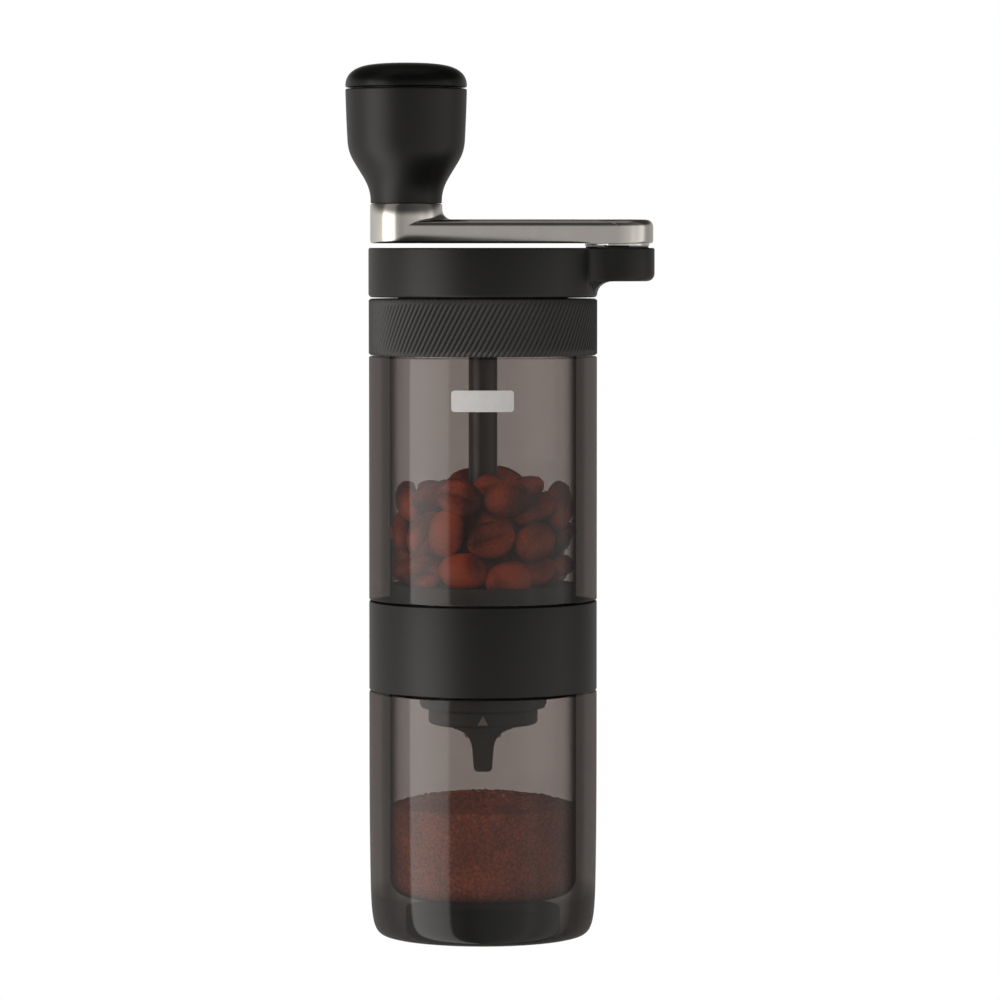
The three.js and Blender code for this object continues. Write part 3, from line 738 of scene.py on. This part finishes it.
lid = {
    "radius": 25.1, "tabRadius": 8.2, "blend": 5, "tabRise": 3.5, "filletOut": 3.8, "filletUp": 2.9,
    "corner": 1.7, "edge": 0.4, "footEdge": 0.8, "cavity": 22.7, "roof": 2.4,
}
pivot = span("pivot_bush")[0]


def lidReach(angle):  # how far the lid's outline reaches at an angle round its axis
    a = abs((angle + math.pi) % (2 * math.pi) - math.pi)
    outer, tip, blend = lid["radius"], lid["tabRadius"], lid["blend"]
    toLid, toTab = outer + blend, tip + blend
    cx = (toLid ** 2 - toTab ** 2 + pivot ** 2) / (2 * pivot)
    cy = math.sqrt(toLid ** 2 - cx ** 2)
    meets = math.atan2(cy * tip / toTab, pivot + (cx - pivot) * tip / toTab)
    if a >= math.atan2(cy, cx):
        return outer
    if a >= meets:
        along = cx * math.cos(a) + cy * math.sin(a)
        return along - math.sqrt(max(along ** 2 - toLid ** 2 + blend ** 2, 0))
    return pivot * math.cos(a) + math.sqrt(tip ** 2 - (pivot * math.sin(a)) ** 2)


def makeLid():
    low = span("lid_shell")[2]
    top = low + 10.8
    tabHalf = math.radians(26)

    def section(reach):
        extra = reach - lid["radius"]
        share = min(extra / (lid["filletOut"] + lid["corner"]), 1)
        out, up, corner = lid["filletOut"] * share, lid["filletUp"] * share, lid["corner"] * share
        wall, tab, edge, footEdge = lid["radius"], low + lid["tabRise"], lid["edge"], lid["footEdge"]
        roof, cavity = top - lid["roof"], lid["cavity"]
        points = [(0, roof), (cavity, roof), (cavity, low + 0.1), (cavity + 0.2, low)]
        points += arc((wall - footEdge, low + footEdge), footEdge, -90, 0, 5)
        points += arc((wall + out, tab - up), (out, up), 180, 90, 7)
        points += arc((reach - corner, tab + corner), corner, -90, 0, 6)
        points += arc((reach - edge, top - edge), edge, 0, 90, 4)
        return points + [(reach - 1.2, top), (0, top)]

    count = len(section(lid["radius"])) - 1

    def place(u, v):  # half of the steps go to the tab's side
        if u < 0.5:
            angle = -tabHalf + 2 * tabHalf * u / 0.5
        else:
            angle = tabHalf + (2 * math.pi - 2 * tabHalf) * (u - 0.5) / 0.5
        radius, z = section(lidReach(angle))[round(v * count)]
        return radius * math.cos(angle), radius * math.sin(angle), z

    piece = formed("round_lid", place, 240, count, 40)
    outline = [(0, top - 1), (6.9, top - 1), (6.9, top + 0.25), (6.75, top + 0.4), (0, top + 0.4)]
    combined(piece, turned("pad", outline, at=(pivot, 0), segments=96), "UNION")
    outline = [(0, low - 1), (5, low - 1), (5, low + 5.9), (3.6, low + 5.9), (3.6, top + 2), (0, top + 2)]
    combined(piece, turned("bore", outline, at=(pivot, 0), segments=64), "DIFFERENCE")
    roof = top - lid["roof"]
    combined(piece, rod(7.4, low + 1.9, roof + 0.5), "UNION")
    combined(piece, rod(5.3, low, roof), "DIFFERENCE")
    for x, y, _ in around(14, 30):
        combined(piece, rod(2.4, low + 1.9, roof + 0.5, (x, y)), "UNION")
        combined(piece, rod(1.2, low, roof - 1, (x, y)), "DIFFERENCE")
    dress(smooth(piece, 40), black, "black_plastic", "crank_lid", "lid_shell")


def makeWashers():
    _, _, low, high = span("pivot_washer")
    rim = arc((6.95, low + 0.1), 0.1, -90, 0, 3) + arc((6.95, high - 0.1), 0.1, 0, 90, 3)
    washer = turned("bright_washer", [(2.9, low), *rim, (2.9, high)], at=(pivot, 0), segments=96)
    dress(washer, steelPolished, "polished_steel", "crank_lid", "pivot_washer")
    _, _, low, high = span("pivot_bush")
    outline = [(2.9, low), (3.35, low), (3.45, low + 0.1), (3.45, high), (2.9, high)]
    bush = turned("nylon_bush", outline, at=(pivot, 0))
    dress(bush, nylon, "nylon", "crank_lid", "pivot_bush")


makeLid()
makeWashers()
print("lid and washers made")


# Crank arm

arm = {"length": 46.2, "half": 7.9, "thick": 5.2, "boss": 8.65, "fillet": 2.3, "edge": 1.6, "foot": 0.5}
knobX = span("knob_axle")[0]
armLow = span("crank_arm")[2]


def armTop(radius, inset, fillet):  # height of the upper surface, from the knob's axis and from the edge
    a = arm
    out = a["half"] + fillet
    height = a["thick"]
    if radius < out:
        height += fillet - math.sqrt(max(fillet ** 2 - (out - max(radius, a["half"])) ** 2, 0))
    if inset < a["edge"]:
        height -= a["edge"] - math.sqrt(a["edge"] ** 2 - (a["edge"] - max(inset, 0)) ** 2)
    return height


def makeArm():
    a = arm
    filletSteps, edgeSteps = 8, 8

    def rim(u):  # a point of the outline, seen from the knob's axis
        half, length = a["half"], a["length"]
        if u < 0.3:  # far end, round the pivot
            angle = math.pi * (u / 0.3 - 0.5)
            return length + half * math.cos(angle), half * math.sin(angle)
        if u < 0.5:
            return length * (1 - (u - 0.3) / 0.2) ** 1.8, half
        if u < 0.8:
            angle = math.pi * ((u - 0.5) / 0.3 + 0.5)
            return half * math.cos(angle), half * math.sin(angle)
        return length * ((u - 0.8) / 0.2) ** 1.8, -half

    def inset(x, y):  # distance in from the outline
        if x > a["length"]:
            return a["half"] - math.hypot(x - a["length"], y)
        if x < 0:
            return a["half"] - math.hypot(x, y)
        return a["half"] - abs(y)

    def ray(u):
        x, y = rim(u)
        reach = math.hypot(x, y)
        dx, dy = x / reach, y / reach
        space = reach - a["half"]
        fillet = max(a["fillet"] * max(dx, 0) ** 5, 0.12)  # full along the arm, tight at its sides
        slant = max(abs(dy), 0.12) if 0 <= x <= a["length"] else 1
        points = [
            (0, a["boss"]), (a["half"] - 0.25, a["boss"]), (a["half"], a["boss"] - 0.25),
            (a["half"], armTop(a["half"], 9, fillet))]
        curl = min(fillet, space / 2)
        lip = min(a["edge"] / slant, space / 2)
        ease = (space - curl - lip) * 0.02  # keeps the long flat faces flat up to their rims
        steps = []
        for i in range(1, filletSteps + 1):
            steps.append(a["half"] + curl * (1 - math.cos(math.pi / 2 * i / filletSteps)))
        steps += [a["half"] + curl + ease, reach - lip - ease]
        for i in range(edgeSteps + 1):
            steps.append(reach - lip * (1 - math.sin(math.pi / 2 * i / edgeSteps)))
        for r in steps:
            points.append((r, armTop(r, inset(r * dx, r * dy), fillet)))
        foot = a["foot"]
        points += [(reach, foot), (reach - foot * 0.3, foot * 0.3), (reach - foot, 0), (5.5, 0), (0, 0)]
        return [(r * dx, r * dy, z) for r, z in points]

    count = 4 + filletSteps + 2 + edgeSteps + 1 + 5 - 1
    rays = {}

    def place(u, v):
        if u not in rays:
            rays[u] = ray(u % 1)
        x, y, z = rays[u][round(v * count)]
        return knobX + x, y, armLow + z

    piece = formed("cast_arm", place, 240, count, 50)
    outline = [(0, -1), (4.9, -1), (4.9, 2.1), (2.8, 2.1), (2.8, 12), (0, 12)]
    seat = turned("seat", [(r, armLow + z) for r, z in outline], at=(knobX, 0), segments=64)
    combined(piece, seat, "DIFFERENCE")
    combined(piece, rod(2.3, armLow - 1, armLow + 3.7, (pivot, 0)), "DIFFERENCE")
    dress(smooth(piece, 45), steelCast, "cast_steel", "crank_arm", "crank_arm")


makeArm()
print("arm made")


# Knob

knob = {"neck": 7.8, "wide": 13.3, "bore": 5.3, "cavity": 11.2, "cavityLow": 14.4}


def makeKnob():
    _, _, low, high = span("knob_shell")
    neck, wide, bore, cavity = knob["neck"], knob["wide"], knob["bore"], knob["cavity"]
    foot = low - 0.22  # close to the arm, so that no light shows between them
    outline = [(bore, foot + 0.1), (bore + 0.1, foot), (neck - 0.2, foot), (neck, foot + 0.15)]
    outline += curve((neck, low + 0.2), (7.85, low + 3.2), (8.9, low + 4.7), (10.3, low + 7), 12)
    outline += curve((10.3, low + 7), (11.75, low + 9.35), (12.7, low + 10.6), (12.87, low + 13.6), 12)
    outline += curve((12.87, low + 13.6), (13.05, low + 17), (13.2, low + 20.5), (wide, high - 0.5), 5)
    outline += arc((wide - 0.35, high - 0.35), 0.35, 10, 90, 4)
    outline += [(cavity, high), (cavity, low + knob["cavityLow"]), (bore, low + knob["cavityLow"])]
    piece = turned("knob_body", outline, at=(knobX, 0), segments=144)
    dress(piece, black, "black_plastic", "knob", "knob_shell")
    _, _, low, high = span("knob_cap")
    rim = high - 5.35
    outline = [(0, high - 2), (9.9, high - 3.4), (9.9, low), (10.9, low), (10.9, rim)]
    outline += arc((wide - 0.3, rim + 0.3), 0.3, -90, 0, 3)
    outline += curve((wide, rim + 0.3), (13.38, rim + 2.5), (11.9, rim + 4.25), (8.4, rim + 4.88), 16)
    outline += curve((8.4, rim + 4.88), (6, rim + 5.3), (3, high), (0, high), 8)
    piece = turned("knob_crown", outline, at=(knobX, 0), segments=144)
    dress(piece, capBlack, "gloss_black", "knob", "knob_cap")


makeKnob()
print("knob made")


# Shaft

shaft = {"radius": 3.15, "thread": 2.4, "pitch": 0.8, "threadDeep": 0.28, "hexAcross": 6, "hexLow": 138}


def makeShaft():
    _, _, low, high = span("drive_shaft")
    s = shaft
    outline = [(0, low), (s["thread"] - 0.4, low), (s["thread"], low + 0.4)]
    level = low + s["pitch"]
    while level < 54.5:  # the thread, as close ridges
        outline += [(s["thread"], level), (s["thread"] - s["threadDeep"], level + s["pitch"] / 2)]
        level += s["pitch"]
    outline += [
        (s["thread"], 55.2), (s["radius"], 56), (s["radius"], 136.5), (2.6, 136.5), (2.6, 137.2),
        (s["radius"] - 0.2, 137.2), (s["radius"] - 0.2, s["hexLow"] + 0.2), (0, s["hexLow"] + 0.2),
    ]
    piece = turned("steel_shaft", outline, segments=64, angle=30)
    for side in (-1, 1):  # the two flats that turn the inner burr
        combined(piece, block((10, 1, 13.8), (0, side * (s["radius"] - 0.05), 60.9)), "DIFFERENCE")
    deselectAll()
    bpy.ops.mesh.primitive_cylinder_add(
        vertices=6, radius=s["hexAcross"] / math.sqrt(3) * mm, depth=(high - s["hexLow"]) * mm,
        location=(0, 0, (high + s["hexLow"]) / 2 * mm), rotation=(0, 0, math.pi / 6))
    combined(piece, bevelled(applied(bpy.context.object), 0.25), "UNION")
    dress(smooth(piece, 30), steelShaftPaintedShade, "steel", "drive_shaft", "drive_shaft")


makeShaft()
print("shaft made")


# Spiders that hold the bearings, and the burr housing

spiders = {
    "upper": {
        "node": "upper_spider", "hub": 8.2, "hubLow": 131, "hubHigh": 137.2,
        "armLow": 131, "armHigh": 136.6,
        "seatLow": 132.15, "seatHigh": 140, "rimInside": 18.9, "armWidth": 3,
        "rim": [(18.7, 131.2), (18.9, 131), (20, 131), (20.2, 131.2), (20.2, 136.2), (22.4, 136.2),
                (22.6, 136.4), (22.6, 137.5), (22.4, 137.7), (18.9, 137.7), (18.7, 137.5)],
    },
    "lower": {
        "node": "lower_spider", "hub": 8.2, "hubLow": 71.4, "hubHigh": 77.2,
        "armLow": 73.3, "armHigh": 76.2,
        "seatLow": 60, "seatHigh": 76.75, "rimInside": 17, "armWidth": 3,
        "rim": [(16.6, 73.3), (16.8, 73.1), (20, 73.1), (20.2, 73.3), (20.2, 77.6), (20.05, 77.8),
                (19.9, 77.7), (19.6, 76.6), (19.4, 76.4), (17.2, 76.4), (16.6, 75.8)],
    },
}
bearing = {"outside": 6.9, "outerLand": 6.0}


def makeSpider(name):
    s = spiders[name]
    piece = turned(name + "_bearing_spider", s["rim"], segments=96)
    reach = s["rimInside"] - s["hub"] + 2
    depth, level = s["armHigh"] - s["armLow"], (s["armLow"] + s["armHigh"]) / 2
    for x, y, angle in around((s["hub"] + s["rimInside"]) / 2, 90):
        spoke = block((reach, s["armWidth"], depth), (x, y, level), angle)
        combined(piece, bevelled(spoke, 0.5, 3), "UNION")
    combined(piece, bevelled(rod(s["hub"], s["hubLow"], s["hubHigh"], segments=64), 0.4, 3), "UNION")
    combined(piece, rod(bearing["outside"], s["seatLow"], s["seatHigh"], segments=64), "DIFFERENCE")
    combined(piece, rod(bearing["outerLand"], s["hubLow"] - 1, s["hubHigh"] + 1, segments=64), "DIFFERENCE")
    if name == "lower":
        for x, y, _ in around(18.5, 30):
            combined(piece, rod(1, 70, 80, (x, y), 24), "DIFFERENCE")
    dress(smooth(piece, 40), innerBlack, "black_plastic", "housing", s["node"])


for name in spiders:
    makeSpider(name)
print("spiders made")


# Index ring and dial

dial = {"rim": 12, "rimHigh": 3.2, "gripLength": 21, "gripHalf": 2.3, "flare": 6.4, "holeRadius": 4.2}


def makeIndexRing():
    _, _, low, high = span("index_ring")
    outline = [
        (0, low), (13, low), *arc((13.2, low + 0.5), 0.5, -90, 0, 4), (14, low + 1.1),
        *arc((13.6, low + 2.7), 0.4, 0, 90, 4), (9, low + 3.3), (9, high), (0, high),
    ]
    piece = turned("index_plate", outline, segments=96)
    combined(piece, rod(shaft["thread"] + 0.6, low - 1, low + 4.5), "DIFFERENCE")
    bore = rod(shaft["radius"] + 0.25, low + 4, high + 1)
    combined(bore, block((10, 5.7, 10), (0, 0, high)), "INTERSECT")
    combined(piece, bore, "DIFFERENCE")
    for x, y, _ in around(13.2, 15, 24):  # shallow marks round the rim's underside
        combined(piece, rod(0.45, low - 0.5, low + 0.35, (x, y), 12), "DIFFERENCE")
    dress(smooth(piece, 40), innerBlack, "black_plastic", "inner_burr", "index_ring")


def makeDial():
    _, _, low, high = span("adjust_dial")
    rim = high - dial["rimHigh"]
    outer = dial["rim"]
    disc = turned("grind_dial", [
        (0, rim - 0.5), (6, rim - 0.5),
        *curve((6, rim - 0.5), (8.5, rim - 0.5), (11.2, rim - 0.3), (11.8, rim + 0.3), 6),
        (outer, rim + 0.7), *arc((outer - 0.25, high - 0.25), 0.25, 0, 90, 3), (0, high)], segments=96)
    half, flare = dial["gripHalf"], dial["flare"]
    profile = [(flare, rim + 0.2), (flare, rim - 0.4)]
    profile += curve((flare, rim - 0.4), (3.6, rim - 0.8), (half + 0.15, rim - 2.6), (half, rim - 5), 8)
    profile += [(half - 0.25, low + 1.1), *arc((half - 1.25, low + 1), 1, 0, -90, 5)]
    whole = profile + [(-x, z) for x, z in reversed(profile)]
    fin = drawnOut(whole, -dial["gripLength"] / 2, dial["gripLength"] / 2)
    ends = [(0, 30), (8.4, 30), (8.9, low + 0.4), (9.2, low + 2), (10.9, rim + 1), (0, rim + 1)]
    combined(fin, turned("ends", ends, segments=96), "INTERSECT")
    combined(disc, fin, "UNION")
    bevelled(disc, 0.18, 2, 50)
    combined(disc, rod(dial["holeRadius"], low + 6.7, high + 2), "DIFFERENCE")
    combined(disc, rod(1.05, 47.35, high + 2, (8.6, 0), 24), "DIFFERENCE")
    dress(smooth(disc, 40), innerBlack, "black_plastic", "adjuster_dial", "adjust_dial")
    arrow = drawnOut([(-1.15, rim + 0.65), (1.15, rim + 0.65), (0, rim + 2.75)], -12.12, -11.8)
    arrow.name = arrow.data.name = "dial_arrow"
    dress(arrow, palePrint, "nylon", "adjuster_dial")


makeIndexRing()
makeDial()
print("index ring and dial made")


# Pieces whose shape in the CAD is right: a copy with merged faces, rounded edges and a finish

hidden = {
    "housing": {
        "burr_housing": (innerBlack, "black_plastic", 0.25),
        "burr_retainer": (innerBlack, "black_plastic", 0.2),
        "ring_burr": (steelBurr, "burr_steel", 0.08),
        "spider_screw_1": (steelTurned, "steel", 0.05), "spider_screw_2": (steelTurned, "steel", 0.05),
        "spider_screw_3": (steelTurned, "steel", 0.05),
        "upper_bearing_outer_race": (steelPolished, "steel", 0.15),
        "lower_bearing_outer_race": (steelPolished, "steel", 0.15),
    },
    "drive_shaft": {
        "shaft_clip": (steelTurned, "steel", 0.08), "burr_spring": (steelTurned, "steel", 0),
        "upper_bearing_inner_race": (steelPolished, "steel", 0.15),
        "lower_bearing_inner_race": (steelPolished, "steel", 0.15),
    },
    "bearing_cages": {
        "upper_bearing_cage": (steelPolished, "steel", 0),
        "lower_bearing_cage": (steelPolished, "steel", 0),
    },
    "inner_burr": {"cone_burr": (steelBurr, "burr_steel", 0.08)},
    "crank_lid": {
        "lid_liner": (innerBlack, "black_plastic", 0.2), "drive_socket": (steelTurned, "steel", 0.15),
        "liner_screw_1": (steelTurned, "steel", 0.06), "liner_screw_2": (steelTurned, "steel", 0.06),
        "liner_screw_3": (steelTurned, "steel", 0.06), "wave_washer": (steelTurned, "steel", 0.08),
    },
    "crank_arm": {
        "pivot_screw": (steelTurned, "steel", 0.15), "knob_axle": (steelTurned, "steel", 0.15),
        "knob_clip": (steelTurned, "steel", 0.08),
    },
    "knob": {"lower_knob_bush": (nylon, "nylon", 0.15), "upper_knob_bush": (nylon, "nylon", 0.15)},
    "adjuster_dial": {
        "dial_nut": (brass, "brass", 0.15), "detent_ball": (steelPolished, "steel", 0),
        "detent_spring": (steelTurned, "steel", 0),
    },
}


def refined(node, body, finish, slot, edge):
    piece = frame["nodes"][node].copy()
    piece.data = piece.data.copy()
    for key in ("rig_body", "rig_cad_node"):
        del piece[key]
    piece.parent = None
    bpy.context.scene.collection.objects.link(piece)
    piece.name = piece.data.name = node + "_fine"
    only(piece)
    bpy.ops.object.mode_set(mode="EDIT")
    bpy.ops.mesh.select_all(action="SELECT")
    bpy.ops.mesh.remove_doubles(threshold=0.002 * mm)
    bpy.ops.mesh.dissolve_limited(angle_limit=math.radians(1))
    bpy.ops.object.mode_set(mode="OBJECT")
    if edge:
        bevelled(piece, edge)
    dress(smooth(piece, 35), finish, slot, body, node)


for body, nodes in hidden.items():
    for node, (finish, slot, edge) in nodes.items():
        refined(node, body, finish, slot, edge)
print("hidden pieces refined")


# Coffee beans, settled in the hopper, with a few placed one by one behind the front of the wall

beans = {
    "count": 55, "length": 10.9, "width": 8.4, "thick": 5.6, "seed": 11,
    "ballRadius": 3.5, "ballsApart": 3.9, "floor": 77.9, "steps": 420, "fall": 0.16, "push": 0.35,
    # angle round the axis from the front, height of the middle, lean of the long axis, flat side out
    "placed": [
        {"bearing": 6, "level": 88.3, "lean": 20, "flatOut": True},
        {"bearing": 17, "level": 97.2, "lean": 4, "flatOut": False},
        {"bearing": 72, "level": 95.2, "lean": 80, "flatOut": True},
        {"bearing": 19, "level": 79.6, "lean": 2, "flatOut": False},
        {"bearing": -14, "level": 81.4, "lean": -8, "flatOut": False},
        {"bearing": -17, "level": 97.4, "lean": -12, "flatOut": True},
        {"bearing": -27, "level": 89.6, "lean": 68, "flatOut": False},
        {"bearing": 40, "level": 87.6, "lean": 10, "flatOut": False},
    ],
}


def beanPoint(u, v):  # v runs along the bean, u round it; its crease lies along its flat side
    turns = [-90, -83, -75, -62, -42, -18, 10, 40, 70, 100, 130, 160, 190, 213, 233, 249, 261, 270]
    at = u * (len(turns) - 1)
    angle = math.radians(turns[min(round(at), len(turns) - 1)])
    along = -math.cos(v * math.pi)
    girth = math.sqrt(max(1 - along * along, 0))
    x = beans["length"] / 2 * along
    y = beans["width"] / 2 * girth * math.cos(angle)
    z = beans["thick"] * 0.55 * girth * math.sin(angle)
    if z < 0:
        z = max(z * 1.1, -beans["thick"] * 0.3 - 0.5 * girth * (1 - abs(y) / 5))
        z += 1.3 * girth * math.exp(-(y / 0.55) ** 2)
    return x, y + 0.25 * math.sin(along * math.pi) * girth, z


def placedBean(p):  # its middle, its long axis, and the way out through the wall
    bearing, lean = math.radians(p["bearing"]), math.radians(p["lean"])
    out = hopper["inside"] - beans["thick"] / 2 - 0.3
    middle = (out * math.sin(bearing), -out * math.cos(bearing), p["level"])
    axis = (math.cos(lean) * math.cos(bearing), math.cos(lean) * math.sin(bearing), math.sin(lean))
    return middle, axis, (math.sin(bearing), -math.cos(bearing), 0)


def settledBeans():  # each bean is a pair of balls, which fall and push each other apart
    b = beans
    random = np.random.default_rng(b["seed"])
    middles, axes = [], []
    for p in b["placed"]:
        middle, axis, _ = placedBean(p)
        middles.append(middle)
        axes.append(axis)
    fixed = len(middles)
    while len(middles) < b["count"]:
        radius, bearing = random.uniform(7, 16.5), random.uniform(0, 2 * math.pi)
        middles.append((radius * math.cos(bearing), radius * math.sin(bearing), random.uniform(80, 122)))
        axes.append(random.normal(size=3) * (1, 1, 0.5))
    middles = np.array(middles)
    axes = np.array(axes)
    axes /= np.linalg.norm(axes, axis=1)[:, None]
    half = axes * b["ballsApart"] / 2
    balls = np.stack([middles - half, middles + half], 1)
    pinned = balls[:fixed].copy()
    reach = hopper["inside"] - b["ballRadius"] - 0.1
    clear = shaft["radius"] + b["ballRadius"]
    owner = np.repeat(np.arange(b["count"]), 2)
    other = owner[:, None] != owner[None, :]
    for step in range(b["steps"]):
        if step < b["steps"] * 0.85:
            balls[:, :, 2] -= b["fall"]
        for _ in range(4):
            flat = balls.reshape(-1, 3)
            apart = flat[:, None] - flat[None]
            distance = np.linalg.norm(apart, axis=2) + 1e-6
            deep = np.where(other, np.maximum(2 * b["ballRadius"] - distance, 0), 0)
            flat = flat + b["push"] * (apart / distance[..., None] * deep[..., None]).sum(1)
            out = np.hypot(flat[:, 0], flat[:, 1]) + 1e-6
            held = np.clip(out, clear, reach)
            flat[:, :2] *= (held / out)[:, None]
            flat[:, 2] = np.maximum(flat[:, 2], b["floor"] + b["ballRadius"] * 0.8)
            balls = flat.reshape(-1, 2, 3)
            middle = balls.mean(1)
            axis = balls[:, 1] - balls[:, 0]
            axis /= np.linalg.norm(axis, axis=1)[:, None]
            balls = np.stack([middle - axis * b["ballsApart"] / 2, middle + axis * b["ballsApart"] / 2], 1)
            balls[:fixed] = pinned
    return middle, axis, random.uniform(0, 2 * math.pi, b["count"])


def makeBeans():
    template = formed("bean", beanPoint, 17, 10, 50)
    copies = []
    for i, (middle, axis, roll) in enumerate(zip(*settledBeans())):
        if i < len(beans["placed"]):
            p = beans["placed"][i]
            middle, axis, outward = placedBean(p)
            long = Vector(axis)
            up = -Vector(outward) if p["flatOut"] else Vector(outward)
        else:
            long = Vector(axis)
            side = long.cross(Vector((0, 0, 1))).normalized()
            up = side * math.cos(roll) + long.cross(side) * math.sin(roll)
        across = up.cross(long).normalized()
        up = long.cross(across)
        turn = Matrix((long, across, up)).transposed().to_4x4()
        piece = template.copy()
        piece.data = template.data.copy()
        piece.data.transform(Matrix.Translation(Vector(middle) * mm) @ turn)
        bpy.context.scene.collection.objects.link(piece)
        copies.append(piece)
    bpy.data.objects.remove(template)
    dress(joined("coffee_beans", copies), bean, "black_plastic", "housing")


makeBeans()
print("beans settled")


# Ground coffee in the cup

heap = {
    "radius": 20.35, "level": 29, "rise": 2.6, "sectors": 120, "rings": 26, "wallRings": 16,
    "lumps": 0.22, "seed": 5,
}


def makeGrounds():
    h = heap
    corner = cup["inCorner"] - 0.15
    floor = cup["floor"] + 0.15
    turn = h["radius"] - corner
    sides = [(0, floor), (turn, floor), *arc((turn, floor + corner), corner, -90, 0, 8)]
    wall = len(sides)
    for i in range(1, h["wallRings"] + 1):
        sides.append((h["radius"], floor + corner + (h["level"] - floor - corner) * i / h["wallRings"]))
    count = len(sides) - 1 + h["rings"]
    lumps = np.random.default_rng(h["seed"]).normal(size=(h["sectors"], count + 1)) * h["lumps"]

    def place(u, v):
        k = round(v * count)
        angle = u * 2 * math.pi
        lump = lumps[round(u * h["sectors"]) % h["sectors"], k]
        if k < len(sides):
            radius, z = sides[k]
            if k > wall:
                radius -= abs(lump)
        else:
            share = 1 - (k - len(sides) + 1) / h["rings"]
            radius = h["radius"] * share
            z = h["level"] + h["rise"] * (1 - share ** 2)
            if share > 0:
                z += lump * min(1, 4 * (1 - share) + 0.3)
        return radius * math.cos(angle), radius * math.sin(angle), z

    piece = formed("coffee_grounds", place, h["sectors"], count, 60)
    dress(piece, grounds, "black_plastic", "catch_cup")


makeGrounds()
print("grounds made")
